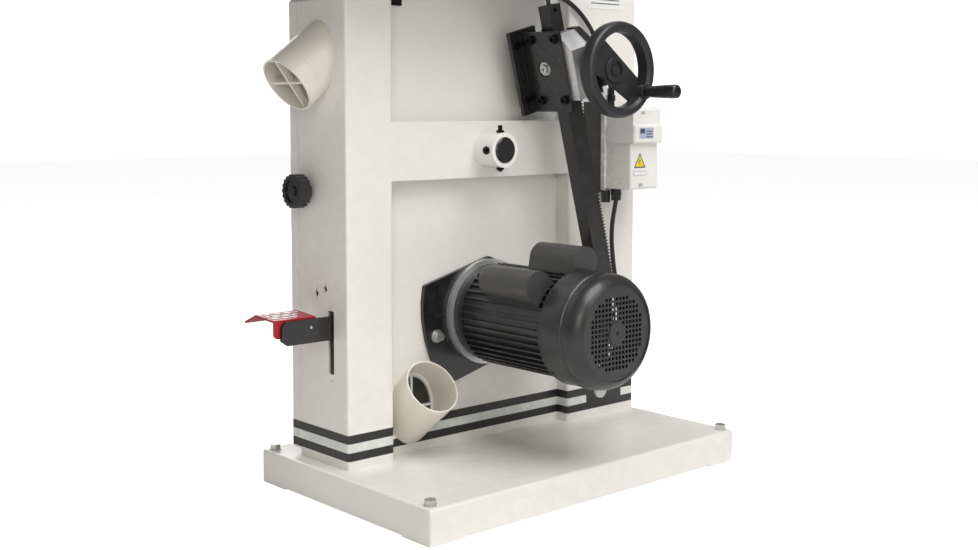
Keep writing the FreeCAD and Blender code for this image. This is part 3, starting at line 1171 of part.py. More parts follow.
def make_brake():
    """The foot brake: a long arm on a pin, its shoe under the wheel and its pedal outside."""
    arm = fuse("arm_solid",
               outline("arm_bar", "XZ", [
                   ("brake_x", "brake_z - arm_half"), ("arm_end - 1.4*arm_corner", "brake_z - arm_half"),
                   ("arm_end", "brake_z - arm_half + arm_corner"),
                   ("arm_end - 1", "brake_z + arm_half - arm_corner"),
                   ("arm_end - arm_corner", "brake_z + arm_half"), ("brake_x", "brake_z + arm_half")],
                   "arm_front", "arm_back"),
               rod("arm_eye", "Y", ("brake_x", "arm_front", "brake_z"), "arm_half",
                   "arm_back - arm_front"),
               span("shoe_bracket", (92, 112), (-110, "arm_front"), (307, 340)),
               span("shoe_block", (75, 105), (-110, -82), (335, 347.5)))
    keep("brake_arm", cut("arm_cut", arm, rod("arm_hole", "Y", (
        "brake_x", -120, "brake_z"), "brake_pin + brake_gap", 80)))
    pedal = outline("pedal_outline", "YZ", [
        (-65, 317), (-122, 320.5), (-155, 306), (-155, 302.4), (-121.2, 317), (-68.5, 313.5),
        (-68.5, "pedal_skirt"), (-65, "pedal_skirt")], "pedal_left", "pedal_right")
    skirt = dim("pedal_skirt")
    keep("brake_pedal", rounded("pedal_rounded", pedal, "pedal_corner",
                                lambda p, t: abs(t.y) > 0.99 and p.z < skirt + 0.01))
    keep("brake_pivot", turned("pivot_turned", "Y", ("brake_x", 0, "brake_z"), [
        (0, -72), (10, -72), (10, -66), ("brake_pin", -66), ("brake_pin", -58), (12, -58), (12, -55),
        (9, -55), (9, "panel_y - wall"), (0, "panel_y - wall")]))


def make_guides():
    """The blade guides above and below the table, and the post that carries the upper one."""
    low = span("lower_guide_box", (246, 296), (-130, -72), ("shell_top", 906))
    keep("lower_guide", cut("lower_guide_cut", low, span(
        "lower_guide_slot", ("blade_x - 1.2", "blade_x + 1.2"), (-131, "blade_back + 0.7"), (860, 910))))
    low = span("post_bar", ("post_x - post_half", "post_x + post_half"),
               ("post_y - post_half", "post_y + post_half"), ("guide_high", "post_high"))
    keep("guide_post", low)
    block = span("upper_guide_box", (246, "post_x + post_half"), (-130, "post_y + post_half"),
                 ("guide_low", "guide_high"))
    block = cut("upper_guide_cut", block, span("upper_guide_slot", ("blade_x - 1.2", "blade_x + 1.2"), (
        -131, "blade_back + 0.7"), ("guide_low - 1", "guide_high + 1")))
    guard = cut("guard_cut", span("guard_box", (259, 283), ("guard_front", -86),
                                  ("guide_high", "guard_high")),
                span("guard_hollow", (262, 280), ("guard_front + 3", -85),
                     ("guide_high - 1", "guard_high + 1")))
    keep("upper_guide", group("upper_guide_group", block, guard))
    collar = span("post_collar_box", (284, 334), (-100, "panel_y - wall"), (1380, 1440))
    HEAD_BRACKETS.append(cut("post_collar_cut", collar, span(
        "post_collar_way", ("post_x - post_half - 0.4", "post_x + post_half + 0.4"),
        ("post_y - post_half - 0.4", "post_y + post_half + 0.4"), (1379, 1441))))


# ---------------------------------------------------------------- build, check and write

make_base()
make_lower_housing()
make_column()
make_upper_housing()
make_port("side_dust_port", True)
make_port("rear_dust_port", False)
make_doors()
make_latch("lower_latch", "latch_z")
make_latch("upper_latch", "upper_latch_z")
make_wheel("lower", "wheel_low")
make_wheel("upper", "wheel_up")
make_lower_drive()
make_blade()
make_tension()
make_motor_plate()
make_motor()
make_switch()
make_controls()
make_gearbox()
make_tilt_handwheel()
make_table()
make_fence()
make_brake()
make_guides()
keep("head_brackets", group("head_bracket_group", *HEAD_BRACKETS))
keep("fasteners", group("fastener_group", *FASTENERS))

DOC.recompute()
problems = []
for thing in DOC.Objects:
    if "Invalid" in thing.State or "Error" in thing.State:
        problems.append(f"{thing.Label}: {thing.State}")
os.makedirs("parts", exist_ok=True)
for node, item in NODES:
    shape = item.Shape
    if shape.isNull() or not shape.isValid() or not shape.Solids:
        problems.append(f"{node}: bad shape")
        continue
    box = shape.optimalBoundingBox()
    print(f"{node:20s} solids {len(shape.Solids):3d} X {box.XMin:8.1f} {box.XMax:8.1f}"
          f" Y {box.YMin:8.1f} {box.YMax:8.1f} Z {box.ZMin:8.1f} {box.ZMax:8.1f}"
          f" vol {shape.Volume / 1000:9.1f}")
    shape.exportStep(f"parts/{node}.step")
print(len(NODES), "nodes,", len(DOC.Objects), "objects")
if problems:
    raise SystemExit("\n".join(problems))
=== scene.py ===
"""The looks of a vertical band saw: studio, camera, cords, materials and small finishing pieces."""

import math

import bmesh
import bpy
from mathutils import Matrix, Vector


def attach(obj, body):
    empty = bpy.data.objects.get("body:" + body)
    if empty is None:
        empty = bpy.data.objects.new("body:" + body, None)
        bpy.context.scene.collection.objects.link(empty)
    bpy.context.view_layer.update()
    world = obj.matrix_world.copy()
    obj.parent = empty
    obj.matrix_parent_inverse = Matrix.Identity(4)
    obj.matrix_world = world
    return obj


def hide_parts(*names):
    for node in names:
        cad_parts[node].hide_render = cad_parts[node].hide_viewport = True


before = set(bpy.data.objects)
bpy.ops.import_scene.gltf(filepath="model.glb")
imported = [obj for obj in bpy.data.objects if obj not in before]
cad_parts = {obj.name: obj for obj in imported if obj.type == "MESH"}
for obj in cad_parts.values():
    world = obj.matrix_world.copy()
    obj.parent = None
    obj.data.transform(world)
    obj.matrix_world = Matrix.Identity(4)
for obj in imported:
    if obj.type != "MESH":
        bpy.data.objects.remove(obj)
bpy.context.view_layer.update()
MM = 0.001

# ---------------------------------------------------------------- camera and studio

CAMERA_PLACE = (1.5701, 1.7081, 0.6627)
CAMERA_LOOK = (-0.6613, -0.7465, -0.0736)
CAMERA_LENS = 47.40
CAMERA_SHIFT = (0.0079, -0.0738)

# name, place, target, size, watts, colour
LIGHTS = (
    ("key", (-0.9, 4.4, 2.7), (0, 0, 0.7), (3.0, 2.4), 32, (1.0, 0.99, 0.975)),
    ("top", (0.2, 2.1, 4.0), (0.1, 0.2, 0.1), (3.0, 3.0), 150, (1.0, 0.995, 0.985)),
    ("fill", (2.9, 2.9, 1.9), (0, 0, 0.5), (2.0, 2.0), 36, (1.0, 0.94, 0.87)),
    ("front", (-1.0, -4.2, 2.6), (0, 0, 1.0), (2.8, 2.8), 90, (1.0, 1.0, 1.0)),
)
ROOM_COLOUR = (1.0, 0.955, 0.90)
ROOM_LIGHT = 0.21
ROOM_SEEN = 1.25
FLOOR_REACH = 14
FLOOR_GREY = 0.86
FLOOR_GLOW = 0.78


def link(item):
    bpy.context.scene.collection.objects.link(item)
    return item


def make_camera():
    data = bpy.data.cameras.new("camera")
    data.sensor_width = 36
    data.sensor_fit = "HORIZONTAL"
    data.lens = CAMERA_LENS
    data.shift_x, data.shift_y = CAMERA_SHIFT
    data.clip_start = 0.05
    camera = link(bpy.data.objects.new("camera", data))
    camera.location = CAMERA_PLACE
    camera.rotation_euler = Vector(CAMERA_LOOK).to_track_quat("-Z", "Y").to_euler()
    bpy.context.scene.camera = camera


def area_light(name, place, target, size, power, colour):
    """A rectangular light aimed at a point."""
    data = bpy.data.lights.new(name, "AREA")
    data.shape = "RECTANGLE"
    data.size, data.size_y = size
    data.energy = power
    data.color = colour
    light = link(bpy.data.objects.new(name, data))
    light.location = place
    light.rotation_euler = (Vector(target) - Vector(place)).to_track_quat("-Z", "Y").to_euler()


def seen_directly(tree):
    """A value that is 1 for what the camera sees and 0 for light that bounces."""
    return tree.nodes.new("ShaderNodeLightPath").outputs["Is Camera Ray"]


def make_studio():
    """A white room lit softly from above the motor side; the blade side stays in half shade."""
    for light in LIGHTS:
        area_light(*light)
    world = bpy.data.worlds.new("studio")
    world.use_nodes = True
    tree = world.node_tree
    background = tree.nodes["Background"]
    background.inputs["Color"].default_value = (*ROOM_COLOUR, 1)
    level = tree.nodes.new("ShaderNodeMapRange")
    level.inputs["To Min"].default_value = ROOM_LIGHT
    level.inputs["To Max"].default_value = ROOM_SEEN
    tree.links.new(seen_directly(tree), level.inputs["Value"])
    tree.links.new(level.outputs["Result"], background.inputs["Strength"])
    bpy.context.scene.world = world
    bpy.context.scene.view_settings.view_transform = "Standard"


def make_floor():
    """A white floor that keeps only a trace of shadow."""
    mesh = bpy.data.meshes.new("floor")
    corners = [(a * FLOOR_REACH, b * FLOOR_REACH, 0) for a, b in ((-1, -1), (1, -1), (1, 1), (-1, 1))]
    mesh.from_pydata(corners, [], [(0, 1, 2, 3)])
    floor = link(bpy.data.objects.new("floor", mesh))
    paint = bpy.data.materials.new("floor_white")
    paint.use_nodes = True
    tree = paint.node_tree
    shader = tree.nodes["Principled BSDF"]
    shader.inputs["Base Color"].default_value = (FLOOR_GREY, FLOOR_GREY, FLOOR_GREY, 1)
    shader.inputs["Roughness"].default_value = 0.95
    shader.inputs["Specular IOR Level"].default_value = 0.0
    shader.inputs["Emission Color"].default_value = (1, 1, 1, 1)
    glow = tree.nodes.new("ShaderNodeMath")
    glow.operation = "MULTIPLY"
    glow.inputs[1].default_value = FLOOR_GLOW
    tree.links.new(seen_directly(tree), glow.inputs[0])
    tree.links.new(glow.outputs[0], shader.inputs["Emission Strength"])
    mesh.materials.append(paint)


# ---------------------------------------------------------------- materials


class Look:
    """A procedural material whose pattern lies in the frame of the machine, in metres."""

    def __init__(self, name, colour, rough, metallic=0.0, coat=0.0):
        self.material = bpy.data.materials.new(name)
        self.material.use_nodes = True
        self.tree = self.material.node_tree
        self.shader = self.tree.nodes["Principled BSDF"]
        self.shader.inputs["Metallic"].default_value = metallic
        self.shader.inputs["Coat Weight"].default_value = coat
        self.shader.inputs["Coat Roughness"].default_value = 0.12
        self.place = self.add("ShaderNodeTexCoord").outputs["Object"]
        self.colour = self.rgb(colour)
        self.rough = rough
        self.normal = None

    def add(self, kind):
        return self.tree.nodes.new(kind)

    def join(self, source, target):
        self.tree.links.new(source, target)

    def rgb(self, colour):
        node = self.add("ShaderNodeRGB")
        node.outputs[0].default_value = (*colour, 1)
        return node.outputs[0]

    def noise(self, scale, detail=4, stretch=None, rough=0.55):
        """Noise between 0 and 1, optionally stretched along the axes."""
        node = self.add("ShaderNodeTexNoise")
        node.inputs["Scale"].default_value = scale
        node.inputs["Detail"].default_value = detail
        node.inputs["Roughness"].default_value = rough
        source = self.place
        if stretch:
            mapping = self.add("ShaderNodeMapping")
            mapping.inputs["Scale"].default_value = stretch
            self.join(source, mapping.inputs["Vector"])
            source = mapping.outputs["Vector"]
        self.join(source, node.inputs["Vector"])
        return node.outputs["Fac"]

    def ramp(self, value, low, high, start=0.0, end=1.0):
        """Map a value from [low, high] to [start, end], clamped."""
        node = self.add("ShaderNodeMapRange")
        node.inputs["From Min"].default_value = low
        node.inputs["From Max"].default_value = high
        node.inputs["To Min"].default_value = start
        node.inputs["To Max"].default_value = end
        self.join(value, node.inputs["Value"])
        return node.outputs["Result"]

    def times(self, first, second):
        node = self.add("ShaderNodeMath")
        node.operation = "MULTIPLY"
        self.join(first, node.inputs[0])
        if isinstance(second, float):
            node.inputs[1].default_value = second
        else:
            self.join(second, node.inputs[1])
        return node.outputs[0]

    def tint(self, mask, colour):
        """Blend the colour so far towards another one by a mask."""
        node = self.add("ShaderNodeMix")
        node.data_type = "RGBA"
        self.join(mask, node.inputs[0])
        self.join(self.colour, node.inputs[6])
        if isinstance(colour, tuple):
            node.inputs[7].default_value = (*colour, 1)
        else:
            self.join(colour, node.inputs[7])
        self.colour = node.outputs[2]
        return self

    def edges(self, low=0.53, high=0.62):
        """A mask of convex edges."""
        return self.ramp(self.add("ShaderNodeNewGeometry").outputs["Pointiness"], low, high)

    def soften(self, radius):
        """Round the shading of sharp edges."""
        node = self.add("ShaderNodeBevel")
        node.samples = 4
        node.inputs["Radius"].default_value = radius
        self.normal = node.outputs["Normal"]
        return self

    def bump(self, height, strength, distance):
        node = self.add("ShaderNodeBump")
        node.inputs["Strength"].default_value = strength
        node.inputs["Distance"].default_value = distance
        self.join(height, node.inputs["Height"])
        if self.normal:
            self.join(self.normal, node.inputs["Normal"])
        self.normal = node.outputs["Normal"]
        return self

    def done(self, rough_noise=60, rough_spread=0.08):
        """Wire the colour, a lively roughness and the normal into the shader."""
        value = self.ramp(self.noise(rough_noise, 5), 0.3, 0.7, max(0.02, self.rough - rough_spread),
                          self.rough + rough_spread)
        self.join(value, self.shader.inputs["Roughness"])
        self.join(self.colour, self.shader.inputs["Base Color"])
        if self.normal:
            self.join(self.normal, self.shader.inputs["Normal"])
        return self.material


def shade(colour, factor):
    return tuple(min(1.0, c * factor) for c in colour)


def enamel(name, colour, rough=0.36, coat=0.2, edge=0.0012):
    """Sprayed enamel: orange peel, a trace of mottling, hardly worn at the edges."""
    look = Look(name, colour, rough, coat=coat).soften(edge)
    look.tint(look.ramp(look.noise(2.6, 3), 0.35, 0.7, 0.0, 0.5), shade(colour, 0.975))
    look.tint(look.ramp(look.noise(38, 6), 0.52, 0.75, 0.0, 0.12), shade(colour, 0.94))
    look.tint(look.times(look.edges(), look.ramp(look.noise(45, 3), 0.45, 0.6)), shade(colour, 1.04))
    look.bump(look.noise(420, 2), 0.08, 0.0005)
    return look.done(30, 0.05)


def black_enamel(name, colour=(0.0085, 0.0085, 0.0088), rough=0.30):
    """Black machine paint with a soft gloss and slightly rubbed edges."""
    look = Look(name, colour, rough, coat=0.3).soften(0.0009)
    look.tint(look.ramp(look.noise(5, 3), 0.4, 0.75, 0.0, 0.5), shade(colour, 1.3))
    look.tint(look.times(look.edges(0.56, 0.7), look.ramp(look.noise(70, 4), 0.52, 0.62, 0.0, 0.7)),
              (0.035, 0.035, 0.036))
    look.bump(look.noise(520, 3), 0.16, 0.0005)
    return look.done(70, 0.05)


# The default colour, which only the motor uses, is black lightened to a dark grey: partly the paint's
# own colour, partly a painted sheen that stands in for the motor's reflections.
def cast_black(name, colour=(0.023, 0.022, 0.021), rough=0.34):
    """Satin paint on a smooth casting."""
    look = Look(name, colour, rough, coat=0.2).soften(0.0007)
    look.tint(look.ramp(look.noise(9, 4), 0.4, 0.7, 0.0, 0.6), shade(colour, 1.3))
    look.bump(look.noise(800, 4), 0.22, 0.0004)
    return look.done(110, 0.06)


def steel(name, colour, rough, grain=(1, 1, 40), metallic=1.0):
    """Bright metal with a grain stretched across one axis, and a few dull stains."""
    look = Look(name, colour, rough, metallic).soften(0.0005)
    look.tint(look.ramp(look.noise(30, 5, grain), 0.35, 0.65, 0.0, 0.6), shade(colour, 0.72))
    look.tint(look.ramp(look.noise(9, 6), 0.58, 0.8, 0.0, 0.4), shade(colour, 0.6))
    look.bump(look.noise(90, 4, grain), 0.10, 0.0004)
    return look.done(40, 0.08)


def plastic(name, colour, rough, pebble=1500, strength=0.18, coat=0.0):
    """Moulded plastic with a fine pebble and slight flow marks."""
    look = Look(name, colour, rough, coat=coat).soften(0.0007)
    look.tint(look.ramp(look.noise(7, 3), 0.4, 0.75, 0.0, 0.5), shade(colour, 1.08))
    look.tint(look.times(look.edges(0.56, 0.7), look.ramp(look.noise(80, 3), 0.5, 0.6)),
              shade(colour, 1.25))
    look.bump(look.noise(pebble, 3), strength, 0.0004)
    return look.done(140, 0.07)


def split_by_height(low_colour, high_colour, name):
    """Zinc on the tray's bolts and the pinion's collar, and black on the other screws above a level."""
    look = Look(name, low_colour, 0.34, 0.9).soften(0.0005)
    look.tint(look.ramp(look.noise(60, 5), 0.4, 0.7, 0.0, 0.55), shade(low_colour, 0.6))
    split = look.add("ShaderNodeSeparateXYZ")
    look.join(look.place, split.inputs[0])
    high = look.ramp(split.outputs["Z"], BLACK_SCREW_LEVEL, BLACK_SCREW_LEVEL + 0.002)
    near = look.add("ShaderNodeVectorMath")
    near.operation = "DISTANCE"
    look.join(look.place, near.inputs[0])
    near.inputs[1].default_value = COLLAR_PLACE
    collar = look.ramp(near.outputs["Value"], 0.0215, 0.023)
    mask = look.times(high, collar)
    look.tint(mask, high_colour)
    look.bump(look.noise(300, 3), 0.12, 0.0004)
    return look.done(90, 0.08)


CREAM = (0.80, 0.785, 0.75)
DUCT_CREAM = (0.77, 0.74, 0.66)
ZINC = (0.60, 0.60, 0.585)
IRON = (0.40, 0.40, 0.405)
COLLAR_PLACE = (-0.0465, 0.048, 0.7299)
BLACK_SCREW_LEVEL = 0.45
BLACK_SCREW = (0.02, 0.02, 0.021)
HAND_GREY = (0.020, 0.022, 0.025)

LOOKS = {
    "cream": (enamel("cream_enamel", CREAM),
              "base lower_housing column upper_housing lower_door upper_door axle_boss"),
    "duct": (enamel("duct_enamel", DUCT_CREAM, 0.4, 0.15), "side_dust_port rear_dust_port"),
    "black": (black_enamel("black_enamel"),
              "motor_plate gearbox_plate pinion_case brake_arm upper_guide head_brackets"),
    "plate": (black_enamel("plate_enamel", (0.024, 0.024, 0.021), 0.36), "switch_plate"),
    "bar": (black_enamel("bar_enamel", (0.0125, 0.0125, 0.012), 0.34), "rack_bar"),
    # the motor's dark grey is partly its black paint and partly a painted sheen for its reflections
    "motor": (cast_black("motor_cast"), "motor_body fan_cover motor_fan"),
    # the covers' dark grey is partly their black plastic and partly a painted sheen for their glossy
    # reflections
    "covers": (plastic("cover_plastic", (0.046, 0.043, 0.042), 0.36, 700, 0.10, 0.2), "motor_covers"),
    "iron": (steel("ground_iron", IRON, 0.36, (60, 1.5, 1), 0.85), "table trunnions trunnion_cradles"),
    "casting": (cast_black("wheel_casting", (0.07, 0.075, 0.08), 0.5),
                "lower_wheel upper_wheel wheel_pulley wheel_carriage lower_guide motor_rotor"),
    "tyre": (plastic("tyre_rubber", (0.02, 0.02, 0.02), 0.7, 400, 0.3),
             "lower_tyre upper_tyre drive_belt"),
    "blade": (steel("blade_steel", (0.5, 0.5, 0.51), 0.28, (1, 40, 1)), "saw_blade"),
    "fastener": (split_by_height(ZINC, BLACK_SCREW, "fastener_steel"), "fasteners"),
    "steel": (steel("turned_steel", (0.56, 0.56, 0.56), 0.28, (1, 30, 30)),
              "brake_pivot hinge_barrels lower_axle guide_post fence_rail tilt_pinion"),
    "insert": (steel("insert_aluminium", (0.72, 0.72, 0.73), 0.3, (30, 1, 1)),
               "table_insert fence"),
    "grey": (steel("die_cast", (0.66, 0.66, 0.665), 0.38, (1, 1, 3), 0.7), "motor_flange"),
    "block": (steel("milled_aluminium", (0.70, 0.70, 0.71), 0.36, (2, 2, 30), 0.8), "gear_block"),
    "knob": (plastic("black_phenolic", (0.011, 0.0115, 0.0125), 0.24, 500, 0.06, 0.4),
             "lower_latch upper_latch axle_cap cord_glands"),
    "hand": (plastic("handwheel_plastic", HAND_GREY, 0.42, 900, 0.16),
             "tilt_handwheel tension_handwheel"),
    "grip": (plastic("grip_plastic", (0.014, 0.0145, 0.016), 0.30, 900, 0.10, 0.15), "tilt_handle"),
    "box": (plastic("box_plastic", (0.80, 0.79, 0.765), 0.38, 1400, 0.08, 0.1),
            "switch_base switch_cover"),
    "panel": (plastic("panel_plastic", (0.05, 0.05, 0.055), 0.4, 900, 0.2), "control_panel"),
    "pedal": (enamel("red_enamel", (0.36, 0.003, 0.014), 0.42, 0.12), "brake_pedal"),
    "start": (plastic("green_button_plastic", (0.02, 0.33, 0.07), 0.28, 900, 0.06, 0.4),
              "start_button"),
    "stop": (plastic("red_button_plastic", (0.55, 0.012, 0.012), 0.28, 900, 0.06, 0.4),
             "stop_button"),
    "stripe": (plastic("stripe_black", (0.020, 0.019, 0.018), 0.42, 700, 0.04, 0.1), ""),
    "pale": (plastic("stripe_pale", (0.66, 0.70, 0.66), 0.40, 700, 0.04, 0.1), ""),
    "clip": (plastic("clip_plastic", (0.42, 0.44, 0.40), 0.45, 700, 0.06), ""),
    "label": (plastic("label_white", (0.80, 0.80, 0.79), 0.45, 700, 0.04), ""),
    "ink": (plastic("label_ink", (0.06, 0.07, 0.10), 0.5, 700, 0.03), ""),
    "blue": (plastic("label_blue", (0.40, 0.46, 0.58), 0.4, 700, 0.03), ""),
    "yellow": (plastic("label_yellow", (0.80, 0.62, 0.02), 0.4, 700, 0.03), ""),
    "cord": (plastic("cord_rubber", (0.014, 0.014, 0.014), 0.5, 1200, 0.15), ""),
    "teeth": (steel("tooth_steel", (0.62, 0.62, 0.62), 0.22, (1, 1, 20)), ""),
}


def dress_nodes():
    """Give every CAD node its material."""
    for look, names in LOOKS.values():
        for name in names.split():
            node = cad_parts[name]
            if node.material_slots:
                for holder in node.material_slots:
                    holder.material = look
            else:
                node.data.materials.append(look)


# ---------------------------------------------------------------- pieces


def piece(name, mesh, look, body):
    """Link a mesh as a piece with a look, on a body."""
    item = link(bpy.data.objects.new(name, mesh))
    mesh.materials.append(LOOKS[look][0])
    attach(item, body)
    return item


def solid(name, loops, look, body, smooth=False):
    """A closed skin through equal rings of points, capped at both ends."""
    work = bmesh.new()
    rings = [[work.verts.new(Vector(p) * MM) for p in ring] for ring in loops]
    count = len(rings[0])
    for near, far in zip(rings, rings[1:]):
        for i in range(count):
            j = (i + 1) % count
            work.faces.new((near[i], near[j], far[j], far[i]))
    work.faces.new(list(reversed(rings[0])))
    work.faces.new(rings[-1])
    bmesh.ops.recalc_face_normals(work, faces=work.faces)
    for face in work.faces:
        face.smooth = smooth and len(face.verts) == 4
    mesh = bpy.data.meshes.new(name)
    work.to_mesh(mesh)
    work.free()
    return piece(name, mesh, look, body)


def slab(name, outline, face_y, thick, look, body):
    """A thin plate on a rear face, from X and Z corners; its edge is slightly chamfered."""
    middle = Vector((sum(x for x, _ in outline), 0, sum(z for _, z in outline))) / len(outline)
    rings = []
    for y, inset in ((face_y, 0.0), (face_y + 0.7 * thick, 0.0), (face_y + thick, 0.15)):
        ring = []
        for x, z in outline:
            away = Vector((x, 0, z)) - middle
            point = middle + away * (1 - inset / max(away.length, 1))
            ring.append((point.x, y, point.z))
        rings.append(ring)
    return solid(name, rings, look, body)


def rectangle(left, right, low, high, corner=0.0):
    """Corners of a rectangle, rounded if asked."""
    if not corner:
        return [(left, low), (right, low), (right, high), (left, high)]
    points = []
    for cx, cz, start in ((right - corner, high - corner, 0), (left + corner, high - corner, 90),
                          (left + corner, low + corner, 180), (right - corner, low + corner, 270)):
        for step in range(5):
            angle = math.radians(start + 22.5 * step)
            points.append((cx + corner * math.cos(angle), cz + corner * math.sin(angle)))
    return points


def lathe(name, centre, axis, profile, look, body, steps=48):
    """A turned piece from (radius, height) rings about an axis through its centre."""
    centre, axis = Vector(centre), Vector(axis).normalized()
    side = axis.orthogonal().normalized()
    other = axis.cross(side)
    rings = []
    for radius, height in profile:
        ring = []
        for i in range(steps):
            angle = math.tau * i / steps
            ring.append(centre + axis * height
                        + (side * math.cos(angle) + other * math.sin(angle)) * radius)
        rings.append(ring)
    return solid(name, rings, look, body, smooth=True)


def ring(name, centre, axis, radius, inner, low, high, look, body, slot):
    """A flat-sided ring with eased edges, closed on itself."""
    centre, axis = Vector(centre), Vector(axis).normalized()
    side = axis.orthogonal().normalized()
    other = axis.cross(side)
    ease = 0.25 * min(radius - inner, high - low)
    profile = [(inner, low), (radius - ease, low), (radius, low + ease), (radius, high - ease),
               (radius - ease, high), (inner, high)]
    work = bmesh.new()
    steps = 72
    grid = []
    for i in range(steps):
        angle = math.tau * i / steps
        out = side * math.cos(angle) + other * math.sin(angle)
        grid.append([work.verts.new((centre + out * r + axis * t) * MM) for r, t in profile])
    for i in range(steps):
        near, far = grid[i], grid[(i + 1) % steps]
        for j in range(len(profile)):
            k = (j + 1) % len(profile)
            work.faces.new((near[j], far[j], far[k], near[k]))
    bmesh.ops.recalc_face_normals(work, faces=work.faces)
    mesh = bpy.data.meshes.new(name)
    work.to_mesh(mesh)
    work.free()
    return piece(name, mesh, look, body)


# the stripes round the foot of the cabinet

RIGHT, LEFT, SEAM, REAR, PANEL = 338.0, -366.0, -157.0, -16.0, -44.0
PILLAR, STEP, CORNER = 242.0, -179.0, 5.0
DOOR_FRONT, DOOR_REAR = -181.0, -157.5
STRIPE_LEVELS = (73.2, 87.6, 102.9, 117.5)
BLOCK = (-330.0, -231.0)
DUCT_X, DUCT_Z, DUCT_WALL, DUCT_RISE = 181.0, 137.0, 49.5, 39.2


def arc(x, y, start, turn):
    """Points of a rounded corner about its centre."""
    steps = 5
    return [(x + CORNER * math.cos(math.radians(start + turn * i / steps)),
             y + CORNER * math.sin(math.radians(start + turn * i / steps))) for i in range(steps + 1)]


def duct_half(z):
    """Half the width of the rear duct's wall where it meets the panel, at a height."""
    rise = DUCT_WALL / math.cos(math.radians(DUCT_RISE))
    return DUCT_WALL * math.sqrt(max(0.0, 1 - ((z - DUCT_Z) / rise) ** 2))


def blade_side_path(z):
    """The stripes' way from the door seam over the blade side to the rear duct."""
    path = [(RIGHT, SEAM), (RIGHT, -100)] + arc(RIGHT - CORNER, REAR - CORNER, 0, 90)
    path += arc(PILLAR + CORNER, REAR - CORNER, 90, 90)
    return path + [(PILLAR, PANEL), (DUCT_X + duct_half(z), PANEL)]


def column_side_path(z):
    """The stripes' way from the rear duct over the step to the column side."""
    path = [(DUCT_X - duct_half(z), PANEL), (0, PANEL), (STEP, PANEL)]
    path += arc(STEP - CORNER, REAR - CORNER, 0, 90)
    path += arc(LEFT + CORNER, REAR - CORNER, 90, 90)
    return path + [(LEFT, SEAM)]


def door_path(z):
    """The stripes' way round the lower door, the same at every height."""
    return [(LEFT, DOOR_REAR), (LEFT, DOOR_FRONT), (RIGHT, DOOR_FRONT), (RIGHT, DOOR_REAR)]


def turned_out(path, reach):
    """The path moved to its right-hand side, away from the cabinet."""
    moved = []
    for i, here in enumerate(path):
        normals = []
        for a, b in ((i - 1, i), (i, i + 1)):
            if a >= 0 and b < len(path):
                dx, dy = path[b][0] - path[a][0], path[b][1] - path[a][1]
                long = math.hypot(dx, dy)
                if long > 1e-6:
                    normals.append((dy / long, -dx / long))
        nx = sum(n[0] for n in normals) / len(normals)
        ny = sum(n[1] for n in normals) / len(normals)
        scale = reach / max(nx * nx + ny * ny, 0.25)
        moved.append((here[0] + nx * scale, here[1] + ny * scale))
    return moved


def stripe(name, route, low, high, look, body, lift=0.35):
    """A thin band that follows a route round the cabinet between two heights."""
    rings = []
    low_in, low_out = turned_out(route(low), 0.02), turned_out(route(low), lift)
    high_in, high_out = turned_out(route(high), 0.02), turned_out(route(high), lift)
    for a, b, c, d in zip(low_in, low_out, high_out, high_in):
        rings.append([(*a, low), (*b, low), (*c, high), (*d, high)])
    solid(name, rings, look, body)


def make_stripes():
    """Two dark bands and a pale one between them, round the cabinet and the door."""
    bands = (("low", 0, "stripe"), ("middle", 1, "pale"), ("high", 2, "stripe"))
    for word, level, look in bands:
        low, high = STRIPE_LEVELS[level], STRIPE_LEVELS[level + 1]
        stripe(f"stripe_{word}_blade_side", blade_side_path, low, high, look, "frame")
        stripe(f"stripe_{word}_column_side", column_side_path, low, high, look, "frame")
        stripe(f"stripe_{word}_door", door_path, low, high, look, "lower_door")
    slab("stripe_block", rectangle(*BLOCK, STRIPE_LEVELS[1], STRIPE_LEVELS[2]), REAR + 0.35, 0.3,
         "stripe", "frame")


# labels

SWITCH_FACE, BAND_FACE, TOP_FACE = 65.0, 76.0, 70.0
RATING_PLATE = (-326.0, -229.0, 853.0, 895.0)
RATING_BARS = ((-318, -238), (-318, -238), (-312, -262), (-300, -256))
RATING_BAR_LOW, RATING_BAR_PITCH, RATING_BAR_HIGH = 862.5, 7.4, 2.0
BOX_PLATE = (-317, -277, 604, 625)
BOX_MARK = (-292, -279, 614, 623)
BOX_BARS = (-314, -296)
BOX_BAR_LOW, BOX_BAR_PITCH, BOX_BAR_HIGH = 606.5, 5.2, 2.2
SIGN_BORDER = [(-307.5, 548), (-274.5, 548), (-291, 577)]
SIGN_FACE = [(-303.6, 550.3), (-278.4, 550.3), (-291, 572.6)]
SIGN_BOLT = [(-290.6, 553.2), (-287.4, 562.6), (-290.2, 561.6), (-289.0, 568.0), (-293.6, 559.6),
             (-290.6, 560.6)]
BOX_STRIP = (-310, -272, 533, 542)
BOX_STRIP_FACE = (-308.8, -273.2, 534.2, 540.8)
CLIP_LEFT, CLIP_RIGHT, CLIP_HIGH = -298.5, -287.5, 6
CLIPS = (("low", 512.0, SWITCH_FACE), ("high", 650.0, TOP_FACE))
PRINT_THICK = 0.12


def label(name, outline, face, thick, look):
    """A thin plate on the switch box or the column."""
    slab(name, outline, face, thick, look, "frame")


